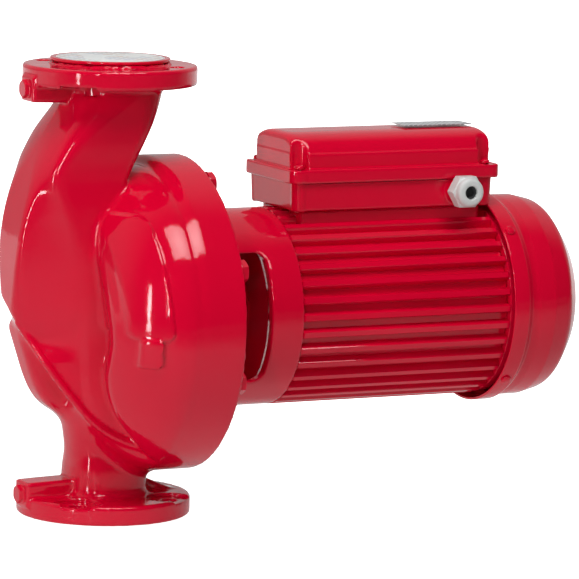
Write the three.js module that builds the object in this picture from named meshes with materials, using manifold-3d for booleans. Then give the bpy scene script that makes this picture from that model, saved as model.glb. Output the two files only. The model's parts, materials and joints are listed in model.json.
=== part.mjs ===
// Close-coupled in-line centrifugal water pump with its electric motor.
// Millimetres. +Z runs up the port axis and +X along the shaft, from the impeller to the fan.
// The origin is the centre of the lower flange's raised face.
import * as THREE from "three";
import { mergeVertices } from "three/addons/utils/BufferGeometryUtils.js";
import Module from "manifold-3d";

// ---- driving dimensions ----
const GAP = 0.3; // clearance between pieces that touch
const FACE_TO_FACE = 420; // between the two raised faces
const AXIS_Z = 188; // height of the shaft
const FLANGE = { radius: 80, rim: 16, face: 3, faceRadius: 55, bore: 32.5, pcd: 130, hole: 7, count: 4 };
const SHELL = { front: -46, rimStart: 22, back: 60, radius: 144, spigot: 112 };
const CHAMBER = { front: -24, back: 38, radius: 128 };
const EYE_RADIUS = 38.3;
const WALL = 7; // casing wall round the inlet duct
const NECK = { radius: 33, bore: 26 };
const BOSS = { width: 28, height: 15, hexRadius: 8.6, thread: 6 };
const CASING_BOLT = { count: 8, circle: 132, radius: 6, tip: 44, head: 7.5, headRadius: 10.97 };
const BRACKET = { flangeEnd: 72, radius: 91.8, inner: 82, web: 128, end: 158 };
const WINDOW = { start: 84, end: 126, half: 59, corner: 10 };
const FRAME = { end: 373, fins: 36, tip: 92, root: 84.5, bore: 76.3 };
const CORE = { start: 215, end: 315, rotorRadius: 45.4, statorBore: 46, slots: 24 };
const BALLS = 9; // in each bearing
const FRONT_BEARING = { x: 134, width: 16, bore: 15, inner: 18.3, outer: 27.7, od: 31, ball: 4.3 };
const REAR_BEARING = { x: 354, width: 15, bore: 12.5, inner: 15.7, outer: 22.8, od: 26, ball: 3.2 };
const IMPELLER = { radius: 84, eye: 33.9, hub: 20, bore: 12.3, blades: 6, wrap: 1.25, thickness: 4 };
const BLADE = { root: 32, start: -18, height: 30 };
const KEY = { half: 4, length: 20, bottom: 8, top: 15 };
const SHAFT = { start: -20, end: 420, thread: 8, nose: 12, seal: 14, core: 18, rear: 10, shoulder: 150.3 };
const SEAL = { spring: 24.7, ring: 36.3, seat: 44, end: 53.7, bore: 14.3, ringRadius: 19, seatRadius: 22 };
const SLINGER = { start: 96, end: 101, radius: 30, hub: 24 };
const FAN = { start: 390, end: 414, disc: 394, sheet: 3, hub: 18, discRadius: 52, tip: 84, bladeEnd: 424 };
const COVER = { start: 373.5, radius: 100, step: 391, end: 453, sheet: 2.5 };
const COVER_SCREW = { count: 4, x: 381, hole: 2.8, shank: 2.4, head: 5, headHeight: 3.3 };
const GRILLE = { slots: 12, middle: 48, halfWidth: 5, halfLength: 20 };
const BOX = { x: 269.5, floor: 280.8, plate: 2.5, top: 306.5, halfLength: 103.5, halfWidth: 50, wall: 4 };
const BOX_CORNER = 8;
const LID = { bottom: 308.5, rim: 11, top: 352, overhang: 3.5, inset: 2.5, sheet: 3.5 };
const SCREW = { dx: 97, dy: 44, head: 4.5, headHeight: 4, shank: 2 };
const GLAND = { x: 337, z: 296, thread: 10, bore: 7, hexRadius: 16.6 };
const LEAD_HOLE = { x: 230, radius: 12 }; // the windings' leads rise through it into the box
const TERMINALS = { start: 174, end: 214, halfWidth: 27, top: 296, pitch: 16, studTop: 307, stud: 3 };
const CAPACITOR = { x: 262, y: 12, length: 90, radius: 18 };
const NAMEPLATE = { start: 326, end: 368, halfWidth: 15 };
const PORT_COVER = { plug: 31, bottom: 412, thickness: 3 };
const KEEL_THICKNESS = 30;

// ---- paints and materials ----
const paint = (color, roughness, metalness) => ({ color, roughness, metalness });
const RED = paint(0xc00826, 0.25, 0.0);
const STEEL = paint(0xb9bcc0, 0.35, 1.0);
const STAINLESS = paint(0xc9ccd0, 0.3, 1.0);
const LAMINATION = paint(0x6d7074, 0.5, 1.0);
const COPPER = paint(0xa4552c, 0.45, 0.6);
const BRASS = paint(0xc8a24a, 0.35, 1.0);
const IRON = paint(0x5a5c60, 0.6, 0.8);
const RUBBER = paint(0x1b1b1d, 0.8, 0.0);
const CARBON = paint(0x2b2c2f, 0.5, 0.0);
const GREY_PLASTIC = paint(0xd0d3d2, 0.45, 0.0);
const BLACK_PLASTIC = paint(0x26272a, 0.5, 0.0);
const WHITE_PLASTIC = paint(0xe4e3de, 0.4, 0.0);

// ---- solids ----
const wasm = await Module();
wasm.setup();

// A closed three.js geometry as a manifold solid.
function solid(geometry) {
  const bare = geometry.clone();
  bare.deleteAttribute("normal");
  bare.deleteAttribute("uv");
  const merged = mergeVertices(bare, 1e-3);
  return new wasm.Manifold(
    new wasm.Mesh({
      numProp: 3,
      vertProperties: merged.attributes.position.array,
      triVerts: new Uint32Array(merged.index.array),
    }),
  );
}

// A manifold solid as a three.js geometry.
function surface(manifold) {
  const mesh = manifold.getMesh();
  const geometry = new THREE.BufferGeometry();
  geometry.setAttribute("position", new THREE.BufferAttribute(mesh.vertProperties, 3));
  geometry.setIndex(new THREE.BufferAttribute(mesh.triVerts, 1));
  geometry.computeVertexNormals();
  return geometry;
}

const joined = (...geometries) => geometries.map(solid).reduce((all, next) => all.add(next));
const cutBy = (body, geometries) => geometries.map(solid).reduce((all, next) => all.subtract(next), body);

// A body of revolution about Y from [along, radius] pairs, the outer side running towards +along.
function turned(profile, segments = 20) {
  const outline = profile.map(([along, radius]) => new THREE.Vector2(radius, along));
  return new THREE.LatheGeometry(outline, segments);
}

function rod(start, end, radius, segments = 10) {
  return turned([[start, 0], [start, radius], [end, radius], [end, 0]], segments);
}

function ring(start, end, inner, outer, segments = 20) {
  return turned([[start, inner], [start, outer], [end, outer], [end, inner], [start, inner]], segments);
}

// Turns a geometry made along Y so that it lies along the shaft, the port axis or the gland's axis.
const onShaft = (geometry) => geometry.rotateZ(-Math.PI / 2).translate(0, 0, AXIS_Z);
const onPort = (geometry) => geometry.rotateX(Math.PI / 2);
const towardsFront = (geometry) => geometry.rotateX(Math.PI);

function block(x0, x1, y0, y1, z0, z1) {
  const box = new THREE.BoxGeometry(x1 - x0, y1 - y0, z1 - z0);
  return box.translate((x0 + x1) / 2, (y0 + y1) / 2, (z0 + z1) / 2);
}

// A flat outline with rounded corners, centred on the origin.
function roundedRectangle(halfX, halfY, corner) {
  const shape = new THREE.Shape();
  shape.moveTo(halfX, halfY - corner);
  shape.absarc(halfX - corner, halfY - corner, corner, 0, Math.PI / 2);
  shape.absarc(corner - halfX, halfY - corner, corner, Math.PI / 2, Math.PI);
  shape.absarc(corner - halfX, corner - halfY, corner, Math.PI, 1.5 * Math.PI);
  shape.absarc(halfX - corner, corner - halfY, corner, 1.5 * Math.PI, 2 * Math.PI);
  return shape;
}

function extruded(shape, depth, curveSegments = 3) {
  return new THREE.ExtrudeGeometry(shape, { depth, bevelEnabled: false, curveSegments });
}

// A rounded rectangular prism on the terminal box's centre line.
function boxPrism(halfLength, halfWidth, corner, bottom, top) {
  const prism = extruded(roundedRectangle(halfLength, halfWidth, corner), top - bottom);
  return prism.translate(BOX.x, 0, bottom);
}

// Points evenly spaced on a circle, as [angle, across, up].
function circlePlaces(count, radius, offset = 0.5) {
  return Array.from({ length: count }, (_, i) => {
    const angle = ((i + offset) * 2 * Math.PI) / count;
    return [angle, radius * Math.sin(angle), radius * Math.cos(angle)];
  });
}

// ---- the scene graph ----
const pump = new THREE.Group();
const shaftLine = new THREE.Group(); // local +Y is the shaft axis, local +Z is up
shaftLine.rotation.z = -Math.PI / 2;
shaftLine.position.z = AXIS_Z;
pump.add(shaftLine);

function place(group, name, geometry, look) {
  const mesh = new THREE.Mesh(geometry, new THREE.MeshStandardMaterial(look));
  mesh.name = name;
  group.add(mesh);
  return mesh;
}

// ---- volute casing ----
// The inlet duct leaves the upper flange, swings to the front and comes down over the eye.
const sideCurve = (places) => new THREE.CatmullRomCurve3(places.map(([x, z]) => new THREE.Vector3(x, 0, z)));
const ductFront = sideCurve([
  [-51, 404],
  [-55, 384],
  [-74, 350],
  [-91, 312],
  [-102, 265],
  [-104, 225],
  [-99, AXIS_Z],
  [-86, 162],
  [-58, 148],
]);
const ductBack = sideCurve([
  [51, 404],
  [50, 384],
  [37, 362],
  [22, 335],
  [2, 300],
  [-18, 265],
  [-26, 225],
  [-26, AXIS_Z],
  [-26, 162],
  [-32, 148],
]);
const SHOULDER = 2.8; // exponent of the square-shouldered section
const ductHalfWidth = (t) => 50 - 8 * t * t;

// A bent tube between the two curves; inset(t) draws its skin inwards.
function duct(from, to, inset) {
  const geometry = new THREE.CylinderGeometry(1, 1, 1, 16, 8);
  const position = geometry.attributes.position;
  for (let i = 0; i < position.count; i += 1) {
    const t = from + (to - from) * (0.5 - position.getY(i));
    const front = ductFront.getPoint(t);
    const back = ductBack.getPoint(t);
    const middle = front.clone().add(back).multiplyScalar(0.5);
    const reach = back.clone().sub(front).multiplyScalar(0.5);
    const scale = (reach.length() - inset(t)) / reach.length();
    const across = position.getX(i);
    const side = position.getZ(i);
    // A superellipse: the square-shouldered section of the cast duct. An end cap's centre stays put.
    const length = Math.hypot(across, side) || 1;
    const reached = Math.abs(across / length) ** SHOULDER + Math.abs(side / length) ** SHOULDER || 1;
    const square = reached ** (-1 / SHOULDER);
    const u = across * square * scale;
    const v = side * square * (ductHalfWidth(t) - inset(t));
    position.setXYZ(i, middle.x + reach.x * u, -v, middle.z + reach.z * u);
  }
  return geometry;
}

const flangeOutline = [
  [0, 0],
  [0, FLANGE.faceRadius],
  [FLANGE.face, FLANGE.faceRadius],
  [FLANGE.face, FLANGE.radius],
  [FLANGE.face + FLANGE.rim, FLANGE.radius],
  [FLANGE.face + FLANGE.rim, 0],
];
const lowerFlange = () => onPort(turned(flangeOutline));
const upperFlange = () => onPort(turned(flangeOutline).rotateX(Math.PI)).translate(0, 0, FACE_TO_FACE);

const HOLE_DEPTH = 25; // from the raised face, past the rim and its fillet
const flangeHoles = circlePlaces(FLANGE.count, FLANGE.pcd / 2).flatMap(([, x, y]) => [
  onPort(rod(-1, HOLE_DEPTH, FLANGE.hole)).translate(x, y, 0),
  onPort(rod(FACE_TO_FACE - HOLE_DEPTH, FACE_TO_FACE + 1, FLANGE.hole)).translate(x, y, 0),
]);

// Tapping bosses lie under each flange; the front ones take a plug.
const rimTop = FLANGE.face + FLANGE.rim;
const bossHeights = [
  ["lower", rimTop - 1, rimTop + BOSS.height, rimTop + 5],
  ["upper", FACE_TO_FACE - rimTop - BOSS.height, FACE_TO_FACE - rimTop + 1, FACE_TO_FACE - rimTop - 5],
];
const bossFront = -FLANGE.radius - 0.5;
const bossBack = 70;
const bosses = bossHeights.map(([, low, high]) =>
  block(bossFront, bossBack, -BOSS.width / 2, BOSS.width / 2, low, high),
);
const bossHoles = bossHeights.map(([, , , z]) =>
  rod(bossFront - 1, bossFront + 14, BOSS.thread + 0.4).rotateZ(-Math.PI / 2).translate(0, 0, z),
);

const neck = onPort(
  turned([
    [10, 0],
    [10, 38],
    [22, 35],
    [30, NECK.radius],
    [62, NECK.radius],
    [80, 37],
    [100, 43],
    [130, 46],
    [130, 0],
  ]),
);
const outletBore = onPort(
  turned([[-1, 0], [-1, FLANGE.bore], [10, FLANGE.bore], [26, NECK.bore], [95, NECK.bore], [95, 0]]),
);
// The keel: a web under the duct's lower end that runs down into the neck.
const keelShape = new THREE.Shape(
  [[-88, 172], [-77, 128], [-68, 112], [-56, 105], [-46, 98], [-36, 74], [0, 74], [0, 172]]
    .map(([x, z]) => new THREE.Vector2(x, z)),
);
const keel = extruded(keelShape, KEEL_THICKNESS).rotateX(Math.PI / 2).translate(0, KEEL_THICKNESS / 2, 0);
const voluteShell = onShaft(
  turned([
    [SHELL.front, 0],
    [SHELL.front, 62],
    [-38, 88],
    [-22, 114],
    [-2, 132],
    [12, 139],
    [SHELL.rimStart, SHELL.radius],
    [SHELL.back, SHELL.radius],
    [SHELL.back, 0],
  ]),
);
const chamber = onShaft(
  turned([
    [CHAMBER.front, 0],
    [CHAMBER.front, 70],
    [-14, 98],
    [4, 118],
    [20, CHAMBER.radius],
    [CHAMBER.back, CHAMBER.radius],
    [CHAMBER.back, SHELL.spigot],
    [SHELL.back + 1, SHELL.spigot],
    [SHELL.back + 1, 0],
  ]),
);
const boltHoles = circlePlaces(CASING_BOLT.count, CASING_BOLT.circle).map(([, across, up]) =>
  onShaft(rod(CASING_BOLT.tip - 2, SHELL.back + 1, CASING_BOLT.radius + GAP, 8).translate(-across, 0, up)),
);

place(
  pump,
  "volute_casing",
  surface(
    cutBy(joined(voluteShell, duct(0, 1, () => 0), neck, keel, lowerFlange(), upperFlange(), ...bosses), [
      duct(0.02, 0.93, (t) => WALL + 11 * Math.max(0, 1 - 5 * t)),
      onPort(rod(FACE_TO_FACE - 26, FACE_TO_FACE + 1, FLANGE.bore, 20)),
      onShaft(rod(-50, CHAMBER.front + 1, EYE_RADIUS, 20)),
      chamber,
      outletBore,
      ...flangeHoles,
      ...bossHoles,
      ...boltHoles,
    ]),
  ),
  RED,
);

// ---- tapping plugs ----
const plugGeometry = surface(
  joined(
    new THREE.CylinderGeometry(BOSS.hexRadius, BOSS.hexRadius, 6, 6).translate(0, -3 - GAP, 0),
    ring(-1.6 - GAP, -GAP, 3, 9.2, 12),
    rod(-2, 10, BOSS.thread, 8),
  ),
);
for (const [where, , , z] of bossHeights) {
  const plug = place(pump, `tapping_plug_${where}`, plugGeometry, RED);
  plug.rotation.z = -Math.PI / 2;
  plug.position.set(bossFront, 0, z);
}

// ---- casing joint ----
place(shaftLine, "wear_ring", ring(-33, CHAMBER.front - GAP, IMPELLER.eye + 0.5, EYE_RADIUS - GAP), BRASS);
place(shaftLine, "casing_o_ring", ring(51.8, 56.2, 107.8, 111.6), RUBBER);

const hexHeadBolt = surface(
  joined(
    rod(CASING_BOLT.tip, BRACKET.flangeEnd + 1, CASING_BOLT.radius, 8),
    new THREE.CylinderGeometry(CASING_BOLT.headRadius, CASING_BOLT.headRadius, CASING_BOLT.head, 6)
      .translate(0, BRACKET.flangeEnd + GAP + CASING_BOLT.head / 2, 0),
  ),
);
circlePlaces(CASING_BOLT.count, CASING_BOLT.circle).forEach(([, across, up], i) => {
  place(shaftLine, `casing_bolt_${i + 1}`, hexHeadBolt, RED).position.set(-across, 0, up);
});

// ---- motor bracket: pump back cover, lantern and drive-end shield in one casting ----
const bracketBody = turned([
  [45, 22.3],
  [45, SHELL.spigot - GAP],
  [51.5, SHELL.spigot - GAP],
  [51.5, 107.5],
  [56.5, 107.5],
  [56.5, SHELL.spigot - GAP],
  [SHELL.back + GAP, SHELL.spigot - GAP],
  [SHELL.back + GAP, SHELL.radius],
  [BRACKET.flangeEnd, SHELL.radius],
  [BRACKET.flangeEnd, 97],
  [77, BRACKET.radius],
  [BRACKET.end, BRACKET.radius],
  [BRACKET.end, FRAME.bore - 0.6],
  [BRACKET.end + 6, FRAME.bore - 0.6],
  [BRACKET.end + 6, 70],
  [FRONT_BEARING.x, 70],
  [FRONT_BEARING.x, 38],
  [151, 38],
  [151, FRONT_BEARING.od + GAP],
  [FRONT_BEARING.x - GAP, FRONT_BEARING.od + GAP],
  [FRONT_BEARING.x - GAP, 17],
  [BRACKET.web, 17],
  [BRACKET.web, BRACKET.inner],
  [SHELL.back, BRACKET.inner],
  [SHELL.back, 17],
  [54, 17],
  [54, 22.3],
  [45, 22.3],
]);
// In shaftLine's frame the windows look out along local X, so the outline lies in the local YZ plane.
const windowLength = WINDOW.end - WINDOW.start;
const windowCut = extruded(roundedRectangle(WINDOW.half, windowLength / 2, WINDOW.corner), 2 * SHELL.radius)
  .translate(0, 0, -SHELL.radius)
  .rotateY(Math.PI / 2)
  .translate(0, (WINDOW.start + WINDOW.end) / 2, 0);
const bracketHoles = circlePlaces(CASING_BOLT.count, CASING_BOLT.circle).map(([, across, up]) =>
  rod(SHELL.back, BRACKET.flangeEnd + 1, CASING_BOLT.radius + 0.6, 8).translate(-across, 0, up),
);
place(shaftLine, "motor_bracket", surface(cutBy(solid(bracketBody), [windowCut, ...bracketHoles])), RED);

// ---- shaft, key and seal ----
const keyBlock = (grow) =>
  block(-KEY.half - grow, KEY.half + grow, -grow, KEY.length + grow, KEY.bottom - grow, KEY.top + grow);
const rearSeatEnd = REAR_BEARING.x + REAR_BEARING.width + GAP;
const clipGroove = FAN.end + GAP;
const shaftBody = turned([
  [SHAFT.start, 0],
  [SHAFT.start, SHAFT.thread],
  [-3, SHAFT.thread],
  [-3, SHAFT.nose],
  [24.3, SHAFT.nose],
  [24.3, SHAFT.seal],
  [FRONT_BEARING.x, SHAFT.seal],
  [FRONT_BEARING.x, FRONT_BEARING.bore],
  [SHAFT.shoulder, FRONT_BEARING.bore],
  [SHAFT.shoulder, SHAFT.core],
  [REAR_BEARING.x - GAP, SHAFT.core],
  [REAR_BEARING.x - GAP, REAR_BEARING.bore],
  [rearSeatEnd, REAR_BEARING.bore],
  [rearSeatEnd, SHAFT.rear],
  [clipGroove, SHAFT.rear],
  [clipGroove, SHAFT.rear - 1.6],
  [clipGroove + 2, SHAFT.rear - 1.6],
  [clipGroove + 2, SHAFT.rear],
  [SHAFT.end, SHAFT.rear],
  [SHAFT.end, 0],
]);
place(shaftLine, "shaft", surface(cutBy(solid(shaftBody), [keyBlock(GAP)])), STAINLESS);
place(shaftLine, "impeller_key", keyBlock(0), STEEL);
place(shaftLine, "seal_seat", ring(SEAL.seat, SEAL.end, SEAL.bore + 0.7, SEAL.seatRadius), WHITE_PLASTIC);
place(shaftLine, "seal_rotating_ring", ring(SEAL.ring, SEAL.seat - GAP, SEAL.bore, SEAL.ringRadius), CARBON);
const bellowsFolds = [[0, 20], [2.3, 20], [3.8, 17], [5.3, 20], [6.8, 17], [8.3, 20], [11.3, 20]];
place(
  shaftLine,
  "seal_bellows",
  turned([
    [SEAL.spring, SEAL.bore],
    ...bellowsFolds.map(([along, radius]) => [SEAL.spring + along, radius]),
    [SEAL.ring - GAP, SEAL.bore],
    [SEAL.spring, SEAL.bore],
  ]),
  RUBBER,
);
place(
  shaftLine,
  "water_slinger",
  turned([
    [SLINGER.start, SEAL.bore],
    [SLINGER.start, SLINGER.hub],
    [SLINGER.start + 3, SLINGER.radius],
    [SLINGER.end, SLINGER.radius],
    [SLINGER.end - 1, SEAL.bore],
    [SLINGER.start, SEAL.bore],
  ]),
  RUBBER,
);

// ---- impeller ----
const frontShroud = turned([
  [-33.5, 30],
  [-33.5, IMPELLER.eye],
  [-20, IMPELLER.eye],
  [-8, IMPELLER.radius],
  [-4, IMPELLER.radius],
  [-14, 38],
  [-20, 30],
  [-33.5, 30],
]);
const backShroud = turned([
  [-4, IMPELLER.bore],
  [-4, 18],
  [5, 30],
  [8, IMPELLER.radius],
  [12, IMPELLER.radius],
  [13, IMPELLER.hub],
  [24, IMPELLER.hub],
  [24, IMPELLER.bore],
  [-4, IMPELLER.bore],
]);
// One backward-swept blade, drawn in the plane of the disc.
function bladeOutline(inner, outer, wrap, thickness) {
  const arcs = 4;
  const side = (offset) =>
    Array.from({ length: arcs + 1 }, (_, i) => {
      const radius = inner + ((outer - inner) * i) / arcs;
      const angle = (wrap * i) / arcs + offset / radius;
      return new THREE.Vector2(radius * Math.cos(angle), radius * Math.sin(angle));
    });
  return new THREE.Shape([...side(-thickness / 2), ...side(thickness / 2).reverse()]);
}
const bladeBand = turned([
  [-17, BLADE.root],
  [-6, IMPELLER.radius],
  [10, IMPELLER.radius],
  [7, BLADE.root],
  [-17, BLADE.root],
]);
const blades = circlePlaces(IMPELLER.blades, 1).map(([angle]) =>
  extruded(bladeOutline(BLADE.root, IMPELLER.radius, IMPELLER.wrap, IMPELLER.thickness), BLADE.height)
    .rotateX(-Math.PI / 2)
    .translate(0, BLADE.start, 0)
    .rotateY(angle),
);
const keyway = block(-KEY.half - GAP, KEY.half + GAP, -5, 25, KEY.bottom, KEY.top + GAP);
const impellerBody = joined(...blades).intersect(solid(bladeBand)).add(joined(frontShroud, backShroud));
place(shaftLine, "impeller", surface(cutBy(impellerBody, [keyway])), IRON);
place(shaftLine, "impeller_washer", ring(-6.6, -4.3, 8.5, 16), STAINLESS);
const nutBody = solid(new THREE.CylinderGeometry(13.9, 13.9, 10, 6).translate(0, -12, 0));
const nutBore = rod(SHAFT.start, 0, SHAFT.thread + 0.5, 20);
place(shaftLine, "impeller_nut", surface(cutBy(nutBody, [nutBore])), STAINLESS);

// ---- bearings ----
function ballCage(bearing) {
  const middle = bearing.x + bearing.width / 2;
  const pitch = (bearing.inner + bearing.outer) / 2;
  const balls = circlePlaces(BALLS, pitch).map(([, across, up]) =>
    new THREE.IcosahedronGeometry(bearing.ball).translate(across, middle, up),
  );
  const cage = ring(middle - 4, middle + 4, pitch - 1.2, pitch + 1.2, BALLS);
  return surface(joined(cage, ...balls));
}
for (const [where, bearing] of [["front", FRONT_BEARING], ["rear", REAR_BEARING]]) {
  const end = bearing.x + bearing.width;
  place(shaftLine, `${where}_bearing_inner`, ring(bearing.x, end, bearing.bore + GAP, bearing.inner), STEEL);
  place(shaftLine, `${where}_bearing_outer`, ring(bearing.x, end, bearing.outer, bearing.od), STEEL);
  place(shaftLine, `${where}_bearing_cage`, ballCage(bearing), BRASS);
}

// ---- motor ----
// A toothed outline: each tooth holds `tip` for a share of its pitch and `root` for the rest.
function toothedOutline(count, root, tip, tipShare, rootShare) {
  const pitch = (2 * Math.PI) / count;
  const corners = Array.from({ length: count }, (_, i) => {
    const at = (radius, turn) => {
      const angle = (i + turn) * pitch;
      return new THREE.Vector2(radius * Math.cos(angle), radius * Math.sin(angle));
    };
    return [at(root, -rootShare / 2), at(tip, -tipShare / 2), at(tip, tipShare / 2), at(root, rootShare / 2)];
  });
  return corners.flat();
}

const frameStart = BRACKET.end + GAP;
const frameShape = new THREE.Shape(toothedOutline(FRAME.fins, FRAME.root, FRAME.tip, 0.44, 0.6));
const framePad = block(-42, 42, 176, 364, 60, BOX.floor - GAP - AXIS_Z);
const frameBore = rod(frameStart - 1, FRAME.end + 1, FRAME.bore, 36);
const leadHole = onPort(rod(50, 110, LEAD_HOLE.radius)).translate(0, LEAD_HOLE.x, 0);
const finnedBarrel = extruded(frameShape, FRAME.end - frameStart)
  .rotateX(-Math.PI / 2)
  .translate(0, frameStart, 0);
place(shaftLine, "motor_frame", surface(cutBy(joined(finnedBarrel, framePad), [frameBore, leadHole])), RED);

const statorShape = new THREE.Shape().absarc(0, 0, FRAME.bore - GAP, 0, 2 * Math.PI);
statorShape.holes.push(new THREE.Path(toothedOutline(CORE.slots, 62, CORE.statorBore, 0.72, 0.45)));
place(
  shaftLine,
  "stator_core",
  extruded(statorShape, CORE.end - CORE.start, 18).rotateX(-Math.PI / 2).translate(0, CORE.start, 0),
  LAMINATION,
);
const windingProfile = [[0, 52], [0, 70], [17, 70], [24, 61], [17, 52], [0, 52]];
place(shaftLine, "winding_end_rear", turned(windingProfile, 20), COPPER).position.y = CORE.end + GAP;
const frontWinding = place(shaftLine, "winding_end_front", turned(windingProfile, 20), COPPER);
frontWinding.rotation.z = Math.PI;
frontWinding.position.y = CORE.start - GAP;
place(
  shaftLine,
  "rotor_core",
  turned([
    [CORE.start - 8, 34],
    [CORE.start - 8, 44],
    [CORE.start, CORE.rotorRadius],
    [CORE.end, CORE.rotorRadius],
    [CORE.end + 8, 44],
    [CORE.end + 8, 34],
    [CORE.end, 32],
    [CORE.end, 18.3],
    [CORE.start, 18.3],
    [CORE.start, 32],
    [CORE.start - 8, 34],
  ]),
  LAMINATION,
);

// ---- rear end shield, fan and fan cover ----
const shieldBody = turned([
  [352, REAR_BEARING.od + GAP],
  [352, 34],
  [371, 34],
  [371, 70],
  [366, 70],
  [366, FRAME.bore - 0.6],
  [FRAME.end + GAP, FRAME.bore - 0.6],
  [FRAME.end + GAP, 91],
  [382, 91],
  [382, 12],
  [370, 12],
  [370, REAR_BEARING.od + GAP],
  [352, REAR_BEARING.od + GAP],
]);
// The fan cover's screws sit on four lugs at the corners; the cover has the same holes.
const coverScrewPlaces = circlePlaces(COVER_SCREW.count, 1);
const lugs = coverScrewPlaces.map(([angle]) => block(-8, 8, FRAME.end + GAP, 388, 80, 95).rotateY(angle));
const radialHoles = (radius) =>
  coverScrewPlaces.map(([angle]) =>
    onPort(rod(84, COVER.radius + 10, radius, 6)).translate(0, COVER_SCREW.x, 0).rotateY(angle),
  );
const rearShield = cutBy(joined(shieldBody, ...lugs), radialHoles(COVER_SCREW.hole));
place(shaftLine, "rear_end_shield", surface(rearShield), RED);

const fanHub = ring(FAN.start, FAN.end, SHAFT.rear + GAP, FAN.hub, 16);
const fanDisc = ring(FAN.disc, FAN.disc + FAN.sheet, FAN.hub - 1, FAN.discRadius);
const fanBlades = circlePlaces(8, 1).map(([angle]) =>
  block(-1.2, 1.2, FAN.disc, FAN.bladeEnd, FAN.hub - 1, FAN.tip).rotateY(angle),
);
place(shaftLine, "cooling_fan", surface(joined(fanHub, fanDisc, ...fanBlades)), BLACK_PLASTIC);
place(shaftLine, "fan_clip", ring(clipGroove + 0.4, clipGroove + 1.6, SHAFT.rear - 1.2, 13, 16), STEEL);

const coverBody = turned(
  [
    [450.5, 0],
    [448.6, 58],
    [443, 79],
    [433, 90.5],
    [418, 95],
    [COVER.step, COVER.radius - 1.6 - COVER.sheet],
    [COVER.step - 1.5, COVER.radius - COVER.sheet],
    [COVER.start, COVER.radius - COVER.sheet],
    [COVER.start, COVER.radius],
    [COVER.step - 1.5, COVER.radius],
    [COVER.step, COVER.radius - 1.6],
    [418, 97.5],
    [434.5, 92.7],
    [445, 81],
    [451, 59],
    [COVER.end, 0],
  ],
  24,
);
const slotOutline = roundedRectangle(GRILLE.halfWidth, GRILLE.halfLength, GRILLE.halfWidth - 0.1);
const grilleSlots = circlePlaces(GRILLE.slots, 1).map(([angle]) =>
  extruded(slotOutline, 40, 1)
    .rotateX(Math.PI / 2)
    .translate(0, COVER.end + 17, GRILLE.middle)
    .rotateY(angle),
);
const coverHoles = radialHoles(COVER_SCREW.hole + 0.1);
place(shaftLine, "fan_cover", surface(cutBy(solid(coverBody), [...grilleSlots, ...coverHoles])), RED);

const headBase = COVER.radius + 0.4;
const headTop = COVER.radius + COVER_SCREW.headHeight;
const headDome = turned(
  [[headBase, 0], [headBase, COVER_SCREW.head], [headTop - 1.3, 4.6], [headTop, 3], [headTop, 0]],
  10,
);
const screwShank = rod(86, headBase + 0.6, COVER_SCREW.shank, 8);
const coverScrew = surface(joined(onPort(screwShank), onPort(headDome)));
coverScrewPlaces.forEach(([angle], i) => {
  const screw = place(shaftLine, `fan_cover_screw_${i + 1}`, coverScrew, RED);
  screw.rotation.y = angle;
  screw.position.y = COVER_SCREW.x;
});

// ---- terminal box ----
const boxGroup = new THREE.Group();
pump.add(boxGroup);
const boxCorners = [[-1, -1], [1, -1], [1, 1], [-1, 1]];
const screwPlaces = boxCorners.map(([sx, sy]) => [BOX.x + sx * SCREW.dx, sy * SCREW.dy]);
const boxFloor = BOX.floor + BOX.plate;
// The box's outline drawn `inset` inside its outer face.
const boxOutline = (inset, bottom, top) =>
  boxPrism(BOX.halfLength - inset, BOX.halfWidth - inset, BOX_CORNER - Math.max(inset, 0), bottom, top);
const boxTub = cutBy(solid(boxOutline(0, BOX.floor, BOX.top)), [boxOutline(BOX.wall, boxFloor, BOX.top + 1)]);
const screwPosts = screwPlaces.map(([x, y]) => onPort(rod(boxFloor - 1, BOX.top, 6)).translate(x, y, 0));
const postHoles = screwPlaces.map(([x, y]) => onPort(rod(289, 330, SCREW.shank + 0.5, 8)).translate(x, y, 0));
const glandHole = towardsFront(rod(30, 60, GLAND.thread + GAP, 16)).translate(GLAND.x, 0, GLAND.z);
place(
  boxGroup,
  "terminal_box_base",
  surface(
    cutBy(boxTub.add(joined(...screwPosts)), [
      ...postHoles,
      glandHole,
      onPort(rod(BOX.floor - 10, BOX.floor + 10, LEAD_HOLE.radius)).translate(LEAD_HOLE.x, 0, 0),
    ]),
  ),
  RED,
);

const gasketTop = LID.bottom - GAP;
const gasket = cutBy(solid(boxOutline(0, BOX.top + GAP, gasketTop)), [boxOutline(3, BOX.top, gasketTop + 1)]);
place(boxGroup, "terminal_box_gasket", surface(gasket), RUBBER);

const terminalMiddle = (TERMINALS.start + TERMINALS.end) / 2 - 4;
const terminalStuds = [-1, 0, 1].flatMap((row) =>
  [-1, 1].map((side) =>
    onPort(rod(TERMINALS.top - 2, TERMINALS.studTop, TERMINALS.stud, 6))
      .translate(terminalMiddle + TERMINALS.pitch * side, TERMINALS.pitch * row, 0),
  ),
);
const terminalBase = block(
  TERMINALS.start,
  TERMINALS.end,
  -TERMINALS.halfWidth,
  TERMINALS.halfWidth,
  boxFloor + GAP,
  TERMINALS.top,
);
place(boxGroup, "terminal_block", surface(joined(terminalBase, ...terminalStuds)), BLACK_PLASTIC);
const capacitorCan = rod(0, CAPACITOR.length, CAPACITOR.radius, 20);
const capacitor = place(boxGroup, "run_capacitor", capacitorCan, WHITE_PLASTIC);
capacitor.rotation.z = -Math.PI / 2;
capacitor.position.set(CAPACITOR.x, CAPACITOR.y, boxFloor + GAP + CAPACITOR.radius);

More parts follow.
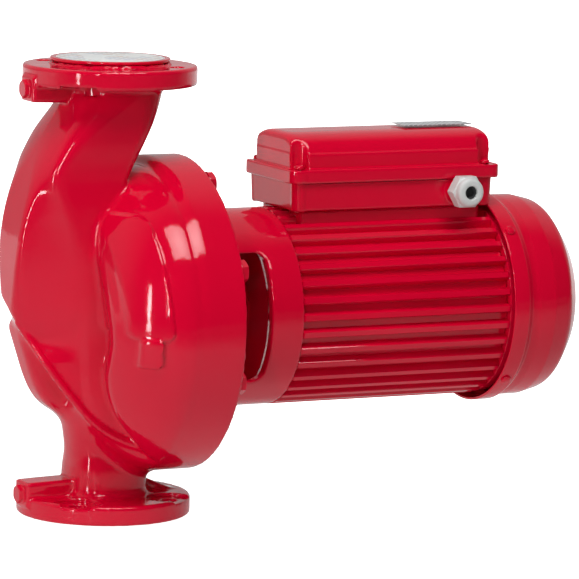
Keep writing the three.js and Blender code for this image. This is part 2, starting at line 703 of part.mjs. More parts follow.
// ---- cable gland ----
const glandGroup = new THREE.Group(); // local +Y points out of the box's front wall
glandGroup.rotation.x = Math.PI;
glandGroup.position.set(GLAND.x, -BOX.halfWidth, GLAND.z);
boxGroup.add(glandGroup);
place(
  glandGroup,
  "gland_body",
  turned(
    [
      [-10, GLAND.bore],
      [-10, GLAND.thread],
      [GAP, GLAND.thread],
      [GAP, 12],
      [4, 12],
      [4, 14],
      [6, 13.5],
      [6, 9.5],
      [13, 9.5],
      [13, GLAND.bore],
      [-10, GLAND.bore],
    ],
    16,
  ),
  RED,
);
const nutHex = new THREE.CylinderGeometry(GLAND.hexRadius, GLAND.hexRadius, 12, 6).translate(0, 6.3 + 6, 0);
const nutDome = turned([[10, 0], [10, 14], [18.5, 13.6], [22, 12.4], [25.5, 10], [25.5, 0]], 18);
place(
  glandGroup,
  "gland_nut",
  surface(cutBy(joined(nutHex, nutDome), [rod(0, 21, 9.8, 18), rod(20, 30, 6.2, 18)])),
  GREY_PLASTIC,
);
const insertProfile = [[13.3, 0], [13.3, 9.4], [20.7, 9.4], [20.7, 5], [16, 4.6], [16, 0]];
place(glandGroup, "gland_insert", turned(insertProfile, 14), RUBBER);
const locknutHex = new THREE.CylinderGeometry(13.8, 13.8, 3.4, 6).rotateY(Math.PI / 6).translate(0, -6.1, 0);
const locknut = cutBy(solid(locknutHex), [rod(-12, 0, GLAND.thread + GAP, 16)]);
place(glandGroup, "gland_locknut", surface(locknut), STEEL);

// ---- terminal box lid ----
const lidHalfLength = BOX.halfLength - LID.inset;
const lidHalfWidth = BOX.halfWidth - LID.inset;
// The lid's arched section across the box, drawn with its inner skin `inset` inside the outer one.
function lidArch(inset, bottom) {
  const half = lidHalfWidth - inset;
  const top = LID.top - inset;
  const shape = new THREE.Shape();
  shape.moveTo(-half, bottom);
  shape.lineTo(half, bottom);
  shape.lineTo(half, top - 18);
  shape.quadraticCurveTo(half, top - 4, half - 22, top - 1.5);
  shape.lineTo(18, top);
  shape.lineTo(-18, top);
  shape.lineTo(22 - half, top - 1.5);
  shape.quadraticCurveTo(-half, top - 4, -half, top - 18);
  shape.closePath();
  const length = 2 * (lidHalfLength - inset);
  return extruded(shape, length, 4)
    .rotateX(Math.PI / 2)
    .rotateZ(Math.PI / 2)
    .translate(BOX.x - length / 2, 0, 0);
}
const lidRimTop = LID.bottom + LID.rim;
const lidRim = boxOutline(-LID.overhang, LID.bottom, lidRimTop);
const pocketPosts = screwPlaces.map(([x, y]) => onPort(rod(LID.bottom, lidRimTop, 7)).translate(x, y, 0));
const screwPockets = screwPlaces.map(([x, y]) => onPort(rod(lidRimTop, LID.top + 8, 8)).translate(x, y, 0));
const screwWalls = screwPlaces.map(([x, y]) => onPort(rod(lidRimTop - 2, 338, 11)).translate(x, y, 0));
const lidSkin = cutBy(joined(lidRim, lidArch(0, LID.bottom + 1)), [lidArch(LID.sheet, LID.bottom - 1)]);
const lidEnvelope = joined(lidRim, lidArch(0, LID.bottom + 1));
const lidPosts = joined(...pocketPosts, ...screwWalls).intersect(lidEnvelope);
const lidBody = cutBy(lidSkin.add(lidPosts), [...screwPockets, ...postHoles]);
place(boxGroup, "terminal_box_lid", surface(lidBody), RED);

const lidScrew = surface(
  joined(
    onPort(rod(291, lidRimTop + 1, SCREW.shank, 8)),
    onPort(rod(lidRimTop + GAP, lidRimTop + GAP + SCREW.headHeight, SCREW.head)),
  ),
);
screwPlaces.forEach(([x, y], i) => {
  place(boxGroup, `lid_screw_${i + 1}`, lidScrew, STEEL).position.set(x, y, 0);
});
const plate = block(
  NAMEPLATE.start,
  NAMEPLATE.end,
  -NAMEPLATE.halfWidth,
  NAMEPLATE.halfWidth,
  LID.top + GAP,
  LID.top + 1,
);
place(boxGroup, "nameplate", plate, STEEL);

// ---- transit cover on the inlet port ----
const coverBase = FACE_TO_FACE + GAP;
const coverTop = coverBase + PORT_COVER.thickness;
const portCover = turned([
  [PORT_COVER.bottom, 0],
  [PORT_COVER.bottom, PORT_COVER.plug],
  [coverBase, PORT_COVER.plug + 1],
  [coverBase, FLANGE.faceRadius],
  [coverTop - 0.7, FLANGE.faceRadius],
  [coverTop, FLANGE.faceRadius - 1],
  [coverTop, 0],
]);
place(pump, "inlet_port_cover", onPort(portCover), RED);

export default pump;
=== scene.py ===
import itertools
import json
import math

import bmesh
import bpy
import numpy as np
from mathutils import Matrix, Vector


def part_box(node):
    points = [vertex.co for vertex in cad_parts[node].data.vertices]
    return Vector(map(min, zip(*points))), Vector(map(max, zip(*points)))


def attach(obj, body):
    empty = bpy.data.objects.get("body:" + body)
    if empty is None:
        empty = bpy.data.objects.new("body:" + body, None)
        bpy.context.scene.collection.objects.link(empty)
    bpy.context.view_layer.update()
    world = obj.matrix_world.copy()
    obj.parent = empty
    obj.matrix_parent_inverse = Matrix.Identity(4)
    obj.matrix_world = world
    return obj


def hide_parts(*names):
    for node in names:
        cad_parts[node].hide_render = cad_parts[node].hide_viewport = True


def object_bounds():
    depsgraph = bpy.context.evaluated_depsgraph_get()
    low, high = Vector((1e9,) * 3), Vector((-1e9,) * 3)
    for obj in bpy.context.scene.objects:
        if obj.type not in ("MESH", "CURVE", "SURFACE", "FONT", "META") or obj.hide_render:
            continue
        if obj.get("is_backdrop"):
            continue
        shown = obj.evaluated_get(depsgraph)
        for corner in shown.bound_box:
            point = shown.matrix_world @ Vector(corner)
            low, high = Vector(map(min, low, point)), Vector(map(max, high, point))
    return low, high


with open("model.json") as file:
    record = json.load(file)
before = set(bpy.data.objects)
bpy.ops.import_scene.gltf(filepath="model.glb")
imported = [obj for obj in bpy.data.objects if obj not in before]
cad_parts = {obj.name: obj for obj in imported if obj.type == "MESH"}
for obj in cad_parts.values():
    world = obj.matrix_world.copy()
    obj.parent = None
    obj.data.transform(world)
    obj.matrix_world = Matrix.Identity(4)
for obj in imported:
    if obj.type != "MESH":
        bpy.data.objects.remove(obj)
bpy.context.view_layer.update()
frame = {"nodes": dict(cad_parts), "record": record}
MM = 0.001


def box_mm(node):
    """Lowest and highest corner of a CAD node, in millimetres."""
    low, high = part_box(node)
    return np.array(low) / MM, np.array(high) / MM


# ---- sizes read from the frame ----
CASING_LOW, CASING_HIGH = box_mm("volute_casing")
BRACKET_LOW, BRACKET_HIGH = box_mm("motor_bracket")
FRAME_LOW, FRAME_HIGH = box_mm("motor_frame")
BASE_LOW, BASE_HIGH = box_mm("terminal_box_base")
LID_LOW, LID_HIGH = box_mm("terminal_box_lid")
SHAFT_LOW, SHAFT_HIGH = box_mm("shaft")
GLAND_LOW, GLAND_HIGH = box_mm("gland_nut")
AXIS_Z = (SHAFT_LOW[2] + SHAFT_HIGH[2]) / 2
TOP = CASING_HIGH[2]
DRUM_RADIUS = CASING_HIGH[1]
DRUM_BACK = BRACKET_LOW[0] + 15
FLANGE_RADIUS = CASING_HIGH[0]
BOX_X = (BASE_LOW[0] + BASE_HIGH[0]) / 2
GLAND_X, GLAND_Z = (GLAND_LOW[0] + GLAND_HIGH[0]) / 2, (GLAND_LOW[2] + GLAND_HIGH[2]) / 2

# ---- flange sizes that only the looks need ----
FACE = 3.0  # height of a flange's raised face
RIM = 18.0  # thickness of its rim
FACE_RADIUS = 55.0
PORT_RADIUS = 32.5
BOLT_PLACE = 46.0  # across and along, to a flange hole
HOLE_RADIUS = 7.0


# ---- fields: signed distances on an (n, 3) array of points, in millimetres ----
def smooth_min(a, b, blend):
    dip = np.maximum(blend - np.abs(a - b), 0) / blend
    return np.minimum(a, b) - dip * dip * blend / 4


def smooth_max(a, b, blend):
    return -smooth_min(-a, -b, blend)


def union(blend, *fields):
    result = fields[0]
    for field in fields[1:]:
        result = smooth_min(result, field, blend)
    return result


def overlap(blend, *fields):
    result = fields[0]
    for field in fields[1:]:
        result = smooth_max(result, field, blend)
    return result


def cut(body, tool, blend):
    return smooth_max(body, -tool, blend)


def rounded_slab(half_a, a, half_b, b, corner):
    """A rectangle with round corners, centred on a = b = 0."""
    over_a = np.abs(a) - half_a + corner
    over_b = np.abs(b) - half_b + corner
    outside = np.hypot(np.maximum(over_a, 0), np.maximum(over_b, 0))
    return outside + np.minimum(np.maximum(over_a, over_b), 0) - corner


def between(value, low, high):
    return np.maximum(low - value, value - high)


def hexagon(u, v, flat):
    """A hexagon whose flats lie `flat` from its centre."""
    angles = [math.radians(60 * i) for i in range(3)]
    return np.max([np.abs(u * math.cos(t) + v * math.sin(t)) for t in angles], axis=0) - flat


def through(places, value):
    """A smooth curve through (place, value) pairs, with level ends."""
    known, heights = np.array(places, float).T
    slopes = np.gradient(heights, known)
    span = np.clip(np.searchsorted(known, value) - 1, 0, len(known) - 2)
    width = known[span + 1] - known[span]
    t = np.clip((value - known[span]) / width, 0, 1)
    rise = (2 * t - 3) * t * t
    start, end = (t - 2) * t * t + t, (t - 1) * t * t
    blend_low = 1 + rise
    return (
        blend_low * heights[span]
        - rise * heights[span + 1]
        + width * (start * slopes[span] + end * slopes[span + 1])
    )


# ---- meshing ----
CORNERS = list(itertools.product((0, 1), repeat=3))


def gradient(field, points, step=0.1):
    """The field's unit slope."""
    shifts = np.eye(3) * step
    slope = np.stack([field(points + s) - field(points - s) for s in shifts], 1)
    return slope / np.maximum(np.linalg.norm(slope, axis=1, keepdims=True), 1e-9)


def contour(field, values, low, voxel):
    """Points and quads of a field's zero level; each cell's point fits the tangent planes round it."""
    inside = values < 0
    size = np.array(values.shape) - 1
    window = [tuple(slice(c, c + n) for c, n in zip(corner, size)) for corner in CORNERS]
    count = sum(inside[w].astype(np.int8) for w in window)
    active = (count > 0) & (count < len(CORNERS))
    cells = np.argwhere(active)
    index = np.full(tuple(size), -1)
    index[active] = np.arange(len(cells))
    planes, pulls = np.zeros((len(cells), 3, 3)), np.zeros((len(cells), 3))
    middles, crossings = np.zeros((len(cells), 3)), np.zeros(len(cells))
    quads = []
    for axis in range(3):
        others = [i for i in range(3) if i != axis]
        first = values.take(range(size[axis]), axis)
        second = values.take(range(1, size[axis] + 1), axis)
        edges = np.argwhere((first < 0) != (second < 0))
        start, end = first[tuple(edges.T)], second[tuple(edges.T)]
        points = low + voxel * edges
        points[:, axis] += voxel * start / (start - end)
        normals = gradient(field, points)
        offsets = (normals * points).sum(1)
        ring = []
        for a, b in ((-1, -1), (0, -1), (0, 0), (-1, 0)):
            cell = edges.copy()
            cell[:, others[0]] += a
            cell[:, others[1]] += b
            around = index[tuple(cell.T)]
            ring.append(around)
            np.add.at(planes, around, normals[:, :, None] * normals[:, None, :])
            np.add.at(pulls, around, normals * offsets[:, None])
            np.add.at(middles, around, points)
            np.add.at(crossings, around, 1)
        ring = np.stack(ring, 1)
        outward = (start < 0) != (axis == 1)
        ring[~outward] = ring[~outward, ::-1]
        quads.append(ring)
    middles /= crossings[:, None]
    weight = 0.08
    found = np.linalg.solve(planes + weight * np.eye(3), (pulls + weight * middles)[:, :, None])[:, :, 0]
    corner = low + voxel * cells
    return np.clip(found, corner - 0.1 * voxel, corner + 1.1 * voxel), np.concatenate(quads)


def mesh_from(name, points, faces):
    """A mesh in metres from points in millimetres."""
    mesh = bpy.data.meshes.new(name)
    mesh.from_pydata((np.asarray(points) * MM).tolist(), [], np.asarray(faces).tolist())
    mesh.shade_smooth()
    return mesh


def cast(name, field, low, high, voxel):
    """The mesh of a field's surface; normals are taken just inside each face, so that edges stay crisp."""
    low = np.asarray(low, float) - 2.5 * voxel
    counts = np.ceil((np.asarray(high, float) + 2.5 * voxel - low) / voxel).astype(int) + 1
    ys, zs = (low[i] + voxel * np.arange(counts[i]) for i in (1, 2))
    values = np.empty(counts)
    plane = np.stack(np.meshgrid(ys, zs, indexing="ij"), -1).reshape(-1, 2)
    for i in range(counts[0]):
        points = np.column_stack([np.full(len(plane), low[0] + voxel * i), plane])
        values[i] = field(points).reshape(counts[1], counts[2])
    points, quads = contour(field, values, low, voxel)
    mesh = mesh_from(name, points, quads)
    centres = points[quads].mean(1)
    corners = points[quads] * 0.7 + centres[:, None] * 0.3
    mesh.normals_split_custom_set(gradient(field, corners.reshape(-1, 3)).tolist())
    return mesh


def rounded_outline(corners, radius, arcs=3):
    """A closed outline with its corners rounded; a corner may carry its own radius as a third value."""
    points = []
    count = len(corners)
    for i, corner in enumerate(corners):
        here = np.array(corner[:2], float)
        before = np.array(corners[i - 1][:2], float) - here
        after = np.array(corners[(i + 1) % count][:2], float) - here
        reach = corner[2] if len(corner) > 2 else radius
        lengths = np.linalg.norm(before), np.linalg.norm(after)
        before, after = before / lengths[0], after / lengths[1]
        half = math.acos(max(-1, min(1, float(before @ after)))) / 2
        trim = min(reach / max(math.tan(half), 1e-6), 0.48 * min(lengths))
        if trim < 1e-3 or here[1] == 0:
            points.append(here)
            continue
        first, last = here + before * trim, here + after * trim
        for t in np.linspace(0, 1, arcs + 1):
            points.append((1 - t) ** 2 * first + 2 * t * (1 - t) * here + t * t * last)
    return np.array(points)


def revolve(name, outline, segments=64):
    """A closed outline of (along, radius) pairs turned about local Z."""
    angles = np.linspace(0, 2 * math.pi, segments, endpoint=False)
    along, radius = np.asarray(outline).T
    points = np.stack(
        [
            radius[:, None] * np.cos(angles),
            radius[:, None] * np.sin(angles),
            np.repeat(along[:, None], segments, 1),
        ],
        -1,
    ).reshape(-1, 3)
    count = len(outline)
    faces = []
    for i in range(count):
        j = (i + 1) % count
        if radius[i] == 0 and radius[j] == 0:
            continue
        for k in range(segments):
            n = (k + 1) % segments
            faces.append((i * segments + k, i * segments + n, j * segments + n, j * segments + k))
    mesh = mesh_from(name, points, faces)
    return cleaned(mesh)


def cleaned(mesh):
    """Joins doubled vertices, drops empty faces and turns every face outwards."""
    work = bmesh.new()
    work.from_mesh(mesh)
    bmesh.ops.remove_doubles(work, verts=work.verts, dist=1e-7)
    bmesh.ops.dissolve_degenerate(work, edges=work.edges, dist=1e-7)
    bmesh.ops.recalc_face_normals(work, faces=work.faces)
    work.to_mesh(mesh)
    work.free()
    mesh.shade_smooth()
    return mesh


# ---- placing ----
def towards(direction, place):
    """A matrix that turns local Z to a direction and moves the origin to a place in millimetres."""
    turn = Vector(direction).to_track_quat("Z", "Y").to_matrix().to_4x4()
    return Matrix.Translation(Vector(place) * MM) @ turn


ON_SHAFT = Matrix.Translation((0, 0, AXIS_Z * MM)) @ Matrix.Rotation(math.pi / 2, 4, "Y")
ON_PORT = Matrix.Identity(4)


def piece(name, mesh, look, body, nodes=(), matrix=None, sharp=None):
    """An object that rides on a body and stands for CAD nodes."""
    made = bpy.data.objects.new(name, mesh)
    bpy.context.scene.collection.objects.link(made)
    if matrix is not None:
        made.matrix_world = matrix
    if not mesh.materials:
        mesh.materials.append(look)
    if sharp is not None:
        mesh.set_sharp_from_angle(angle=math.radians(sharp))
    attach(made, body)
    if nodes:
        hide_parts(*nodes)
    return made


def carve(target, tools):
    """Cuts closed tool meshes out of an object's mesh."""
    for tool in tools:
        holder = bpy.data.objects.new("tool", tool)
        bpy.context.scene.collection.objects.link(holder)
        modifier = target.modifiers.new("cut", "BOOLEAN")
        modifier.object = holder
        modifier.operation = "DIFFERENCE"
        modifier.solver = "EXACT"
        settled = bpy.data.meshes.new_from_object(
            target.evaluated_get(bpy.context.evaluated_depsgraph_get())
        )
        target.modifiers.clear()
        target.data = settled
        bpy.data.objects.remove(holder)


# ---- materials ----
def shader(name):
    made = bpy.data.materials.new(name)
    made.use_nodes = True
    tree = made.node_tree
    return made, tree, tree.nodes["Principled BSDF"]


def linked(tree, kind, **sockets):
    node = tree.nodes.new(kind)
    for key, value in sockets.items():
        node.inputs[key.replace("_", " ")].default_value = value
    return node


def noise(tree, scale, detail=2.0, roughness=0.5):
    """Noise on the object's own coordinates; the scale is in features per metre."""
    where = tree.nodes.new("ShaderNodeTexCoord")
    made = linked(tree, "ShaderNodeTexNoise", Scale=scale, Detail=detail, Roughness=roughness)
    tree.links.new(where.outputs["Object"], made.inputs["Vector"])
    return made.outputs["Fac"]


def spread(tree, value, low, high):
    """Maps a 0..1 value onto a range."""
    made = tree.nodes.new("ShaderNodeMapRange")
    tree.links.new(value, made.inputs["Value"])
    made.inputs["To Min"].default_value = low
    made.inputs["To Max"].default_value = high
    return made.outputs["Result"]


def blend_colours(tree, value, first, second):
    made = tree.nodes.new("ShaderNodeMix")
    made.data_type = "RGBA"
    tree.links.new(value, made.inputs["Factor"])
    made.inputs["A"].default_value = (*first, 1)
    made.inputs["B"].default_value = (*second, 1)
    return made.outputs["Result"]


def add_bump(tree, target, value, distance, strength=1.0):
    made = linked(tree, "ShaderNodeBump", Strength=strength, Distance=distance)
    tree.links.new(value, made.inputs["Height"])
    tree.links.new(made.outputs["Normal"], target.inputs["Normal"])


def finish_material(
    name, first, second, rough, metallic=0.0, grain=60.0, bump=0.0, bump_scale=400.0, coat=0.0
):
    """A procedural finish: two close colours on noise, uneven gloss and a fine bump."""
    made, tree, target = shader(name)
    patches = noise(tree, grain)
    tree.links.new(blend_colours(tree, patches, first, second), target.inputs["Base Color"])
    tree.links.new(spread(tree, noise(tree, grain * 3), *rough), target.inputs["Roughness"])
    target.inputs["Metallic"].default_value = metallic
    if coat:
        target.inputs["Coat Weight"].default_value = coat
        target.inputs["Coat Roughness"].default_value = 0.03
    if bump:
        add_bump(tree, target, noise(tree, bump_scale, 3.0), bump)
    return made


def red_enamel(name="red_enamel"):
    """Thick glossy enamel over a cast skin: orange peel and slow waves in the gloss."""
    made, tree, target = shader(name)
    patches = noise(tree, 9.0, 3.0)
    tree.links.new(
        blend_colours(tree, patches, (0.6, 0.0004, 0.022), (0.66, 0.0006, 0.028)),
        target.inputs["Base Color"],
    )
    tree.links.new(spread(tree, noise(tree, 30.0), 0.05, 0.1), target.inputs["Roughness"])
    target.inputs["Specular IOR Level"].default_value = 0.38
    peel = noise(tree, 260.0, 2.0)
    waves = noise(tree, 34.0, 2.0)
    mixed = tree.nodes.new("ShaderNodeMath")
    mixed.operation = "MULTIPLY_ADD"
    tree.links.new(waves, mixed.inputs[0])
    mixed.inputs[1].default_value = 6.0
    tree.links.new(peel, mixed.inputs[2])
    add_bump(tree, target, mixed.outputs["Value"], 0.00006)
    return made


RED = red_enamel()
STAINLESS = finish_material(
    "stainless", (0.62, 0.63, 0.65), (0.55, 0.56, 0.58), (0.2, 0.35), 1.0, bump=0.00002
)
ZINC = finish_material("zinc", (0.66, 0.67, 0.68), (0.55, 0.56, 0.58), (0.3, 0.45), 1.0, bump=0.00003)
LAMINATED = finish_material(
    "laminated", (0.3, 0.31, 0.32), (0.2, 0.21, 0.22), (0.45, 0.6), 1.0, bump=0.00006
)
COPPER = finish_material("copper", (0.55, 0.22, 0.08), (0.42, 0.15, 0.05), (0.3, 0.5), 0.7, 300.0, 0.0002)
BRONZE = finish_material("bronze", (0.6, 0.38, 0.13), (0.5, 0.3, 0.1), (0.25, 0.4), 1.0, bump=0.00002)
IRON = finish_material("iron", (0.2, 0.2, 0.21), (0.13, 0.13, 0.14), (0.5, 0.7), 0.8, 120.0, 0.0002)
RUBBER = finish_material("rubber", (0.025, 0.025, 0.027), (0.035, 0.035, 0.037), (0.6, 0.75), bump=0.00004)
CARBON = finish_material("carbon", (0.05, 0.05, 0.055), (0.065, 0.065, 0.07), (0.35, 0.45), bump=0.00001)
CERAMIC = finish_material("ceramic", (0.82, 0.8, 0.76), (0.78, 0.76, 0.72), (0.15, 0.25), bump=0.00001)
NYLON = finish_material(
    "nylon", (0.62, 0.63, 0.62), (0.56, 0.57, 0.56), (0.3, 0.42), bump=0.00004, coat=0.1
)
BLACK = finish_material(
    "black_plastic", (0.02, 0.02, 0.022), (0.03, 0.03, 0.032), (0.35, 0.5), bump=0.00004
)
WHITE = finish_material("white_plastic", (0.8, 0.8, 0.77), (0.76, 0.76, 0.73), (0.25, 0.35), bump=0.00002)


# ---- volute casing ----
# Curves up the inlet duct, as pairs of a height and an x place, or a height and a half width.
NOSE = (
    (130, -68), (146, -81), (162, -90), (188, -97), (225, -99),
    (265, -96.5), (312, -85), (350, -68), (384, -50), (404, -46),
)
NOSE_WIDTH = ((130, 8), (162, 12), (188, 17), (225, 22), (265, 25), (312, 27), (350, 29), (404, 27))
SHOULDER = (
    (130, -45), (188, -37), (239, -42), (265, -50), (290, -60),
    (323, -70), (350, -58), (384, -36), (404, -30),
)
SHOULDER_WIDTH = ((130, 36), (162, 42), (188, 48), (225, 50), (290, 48), (323, 46), (350, 48), (404, 48))
DUCT_BACK = ((130, -20), (225, -20), (265, -16), (300, -6), (343, 15), (368, 29), (388, 39), (404, 46))
DUCT_BLEND = ((130, 20), (200, 9), (323, 8), (366, 18), (404, 40))
DUCT_SLOPE = 0.92  # the duct leans, so its fields are scaled back towards true distances
DUCT_TOP = 408.0
DUCT_WALL = 8.0
NECK = ((19, 39), (30, 38), (46, 37), (62, 35.5), (77, 37), (104, 42))  # height and radius
NECK_SQUARENESS = 2.4

# The keel: a flat near face under the duct. Its line holds (place along the face, height) pairs.
KEEL_LINE = ((-86, 187), (-69.5, 165), (-41.3, 123), (-8.6, 89.5), (12.8, 77), (34, 71))
KEEL_TOP, KEEL_START, KEEL_END, KEEL_THICK = 214.0, -86.0, 36.0, 50.0
KEEL_BACK = 12.0
BEAD_TOP, BEAD_RADIUS = 184.0, 3.2
PATCH_FACING = np.array((-0.4, -0.915))
PATCH_DEPTH = 55.0
LOBE_LINE = ((-88, 172), (-78, 138), (-69, 113), (-59, 101), (-47, 93), (-30, 88))

# The spiral shell: its left edge on the keel's face, and how it grows round the shaft.
SHELL_LEFT = (
    (60, 44), (73, 33), (107, 8), (136, 0), (176, 4),
    (209, -1), (259, -11), (300, -10), (323, -4), (350, 5),
)
SHELL_FRONT, SHELL_REACH = 26.0, 66.0  # where its front starts to curve in, and for how far
SHELL_CORE = 62.0  # radius within which the front is level
SHELL_POWER = 1.75
SPIRAL_START, SPIRAL_GROWTH, SPIRAL_CAP = 119, 41, 147
TONGUE_TURN, FALL_START = 150, 0.88
DRUM_FRONT = 33.0
FLANGE_BACK = 73.0
GAP = 0.3  # between neighbouring castings
LIP_INSIDE = 138.8  # the drum's rim reaches back round the motor bracket's flange

# Bores and bosses.
SPOT_RADIUS, SPOT_DEPTH = 21.0, 2.8
HOLE_DEPTH = 26.0
TAP_HEIGHT, TAP_RADIUS, TAP_END = 24.0, 6.4, -66.0
BOSS_LENGTH, BOSS_TAIL = 82.0, 72.0
EYE_RADIUS, EYE_START, EYE_END = 38.3, -41.0, -20.0
CHAMBER_RADIUS, SPIGOT_RADIUS = 130.0, 112.0
OUTLET = ((-5, PORT_RADIUS), (10, PORT_RADIUS), (26, 26), (95, 26))  # height and radius


def duct_field(x, y, z, inset=0.0):
    """The inlet duct: a nose, an oblique and a flat side each way, and a back."""
    side = np.abs(y)
    nose, half = through(NOSE, z), through(NOSE_WIDTH, z)
    shoulder, wide = through(SHOULDER, z), through(SHOULDER_WIDTH, z)
    back, blend = through(DUCT_BACK, z), through(DUCT_BLEND, z)
    along, across = shoulder - nose, wide - half
    length = np.hypot(along, across)
    oblique = ((side - half) * along - (x - nose) * across) / length
    front, rear = (nose - x) * DUCT_SLOPE, (x - back) * DUCT_SLOPE
    return overlap(blend, front, oblique * DUCT_SLOPE, side - wide, rear) + inset


def shell_radius(y, up):
    """The spiral: from the tongue at the bottom it grows over the far side and the top to the near side."""
    turn = np.mod(np.degrees(np.arctan2(-y, up)) + TONGUE_TURN, 360) / 360
    fall = np.clip((turn - FALL_START) / 0.12, 0, 1)
    return np.minimum(SPIRAL_START + SPIRAL_GROWTH * (turn - fall * fall * (3 - 2 * fall)), SPIRAL_CAP)


def flange_field(r, x, y, depth):
    """A flange whose raised face is at depth 0; each bolt hole has its spot face."""
    face = overlap(1.5, r - FACE_RADIUS, between(depth, 0, FACE + 4))
    rim = overlap(4, r - FLANGE_RADIUS, between(depth, FACE, FACE + RIM))
    hole = np.hypot(np.abs(x) - BOLT_PLACE, np.abs(y) - BOLT_PLACE)
    body = smooth_min(face, rim, 1.5)
    spot = np.maximum(hole - SPOT_RADIUS, between(depth, FACE + RIM - SPOT_DEPTH, FACE + RIM + 8))
    return body, spot, hole - HOLE_RADIUS


def patch_place(x, y):
    """Distance along the keel's flat face, and in front of it."""
    along = x * -PATCH_FACING[1] + y * PATCH_FACING[0]
    return along, x * PATCH_FACING[0] + y * PATCH_FACING[1] - PATCH_DEPTH


def below_line(line, along, z, blend):
    """Distance below a line of points that bends upwards."""
    edge = None
    for (a0, z0), (a1, z1) in zip(line, line[1:]):
        length = math.hypot(a1 - a0, z1 - z0)
        below = ((along - a0) * (z1 - z0) - (z - z0) * (a1 - a0)) / length
        edge = below if edge is None else smooth_max(edge, below, blend)
    return edge


def keel_field(x, y, z):
    """The flat near face under the duct, and the bead along its lower edge."""
    along, near = patch_place(x, y)
    edge = below_line(KEEL_LINE, along, z, 6)
    near = near + 0.3 * np.maximum(z - 150, 0) * np.clip((-25 - along) / 30, 0, 1)
    slab = overlap(
        4, near, edge, -near - KEEL_THICK, z - KEEL_TOP, along - KEEL_END, KEEL_START - along, y - KEEL_BACK
    )
    bead = np.maximum(np.hypot(edge + 1.5, near - 0.5) - BEAD_RADIUS, z - BEAD_TOP)
    return smooth_min(slab, np.maximum(bead, along - 34), 1.5)


def lobe_field(x, y, z):
    """The duct's rounded foot on the far side."""
    edge = below_line(LOBE_LINE, x, z, 12)
    return overlap(16, edge, between(y, -8, 36), x + 8, z - 186)


def shell_step(x, y, z):
    """Where the shell may stand in front of the keel's flat face: right of its left edge only."""
    along, near = patch_place(x, y)
    return smooth_min(near - 0.5, (through(SHELL_LEFT, z) - along) * 0.8, 4)


def shell_fields(x, y, z, r, spiral):
    """The spiral shell, and the drum behind it, which stands a little proud at the top."""
    room = DRUM_RADIUS - SHELL_CORE
    reach = np.maximum(SHELL_FRONT - x, 0) / SHELL_REACH
    swell = np.maximum(spiral - SHELL_CORE, 0) / room
    fullness = np.maximum((reach**SHELL_POWER + swell**SHELL_POWER) ** (1 / SHELL_POWER), 1e-6)
    shell = np.hypot(reach * SHELL_REACH, swell * room) * (1 - 1 / fullness)
    shell = overlap(6, shell, shell_step(x, y, z))
    drum = overlap(9, r - DRUM_RADIUS, DRUM_FRONT - x)
    back = x - FLANGE_BACK + GAP
    return smooth_max(shell, back, 1), smooth_max(drum, back, 1)


def pad_fields(x, y, z, shell):
    """The raised pad and the block on the shell's near side."""
    lean = 0.06 * (z - AXIS_Z)
    pad = overlap(2.5, rounded_slab(16, x + 11 + lean, 53, z - 234, 7), shell - 2.6, y)
    block = overlap(2.5, rounded_slab(8, x + 12, 13, z - 168, 4), shell - 5, y)
    return pad, block


def pocket_field(x, y, z, shell):
    """The shallow three-sided pocket at the top of the shell's near side."""
    sides = overlap(2, z - 323, (x + 12) - 0.9 * (z - 298), -(x + 30) - 0.1 * (z - 298), y)
    return np.maximum(sides, -shell - 7)


def neck_field(x, y, z):
    """The lower neck, a little squared, with the discharge running into it."""
    squared = (np.abs(x) ** NECK_SQUARENESS + np.abs(y) ** NECK_SQUARENESS) ** (1 / NECK_SQUARENESS)
    return overlap(8, (squared - through(NECK, z)) * 0.9, between(z, 8, 104))


def boss_fields(x, y, height):
    """A tapping boss: square at the front, tapering to the flange's rim at the back."""
    crown = 35.5 + 0.03 * (x + 80)
    front = overlap(3, rounded_slab(BOSS_LENGTH, x, 14, y, 3), between(height, 12, crown), x)
    tail_top = 37 - 0.42 * np.maximum(x - 30, 0)
    tail = overlap(4, between(x, 0, BOSS_TAIL), np.abs(y) - 12 + 0.05 * x, between(height, 12, tail_top))
    return front, tail


def hollow_field(x, y, z, r, port, spiral, foot):
    """The inlet port and duct, the impeller chamber, the outlet and the bracket's seat."""
    passage = overlap(6, duct_field(x, y, z, DUCT_WALL), foot + DUCT_WALL, z - 398)
    inlet = overlap(2, port - PORT_RADIUS, 387 - z)
    passage = smooth_min(passage, inlet, 6)
    eye = overlap(2, r - EYE_RADIUS, between(x, EYE_START, EYE_END))
    passage = smooth_min(passage, eye, 3)
    front = -24 - x + 0.62 * np.maximum(spiral - 74, 0)
    chamber = overlap(8, spiral - CHAMBER_RADIUS, front, x - 38)
    chamber = smooth_max(chamber, shell_step(x, y, z) + 3.5, 1)
    spigot = overlap(1, r - SPIGOT_RADIUS, between(x, 30, DRUM_BACK + 9))
    outlet = overlap(2, port - through(OUTLET, z), between(z, -9, 92))
    recess = np.maximum(r - LIP_INSIDE, DRUM_BACK - x)
    return np.minimum(union(6, chamber, outlet), np.minimum(passage, np.minimum(spigot, recess)))


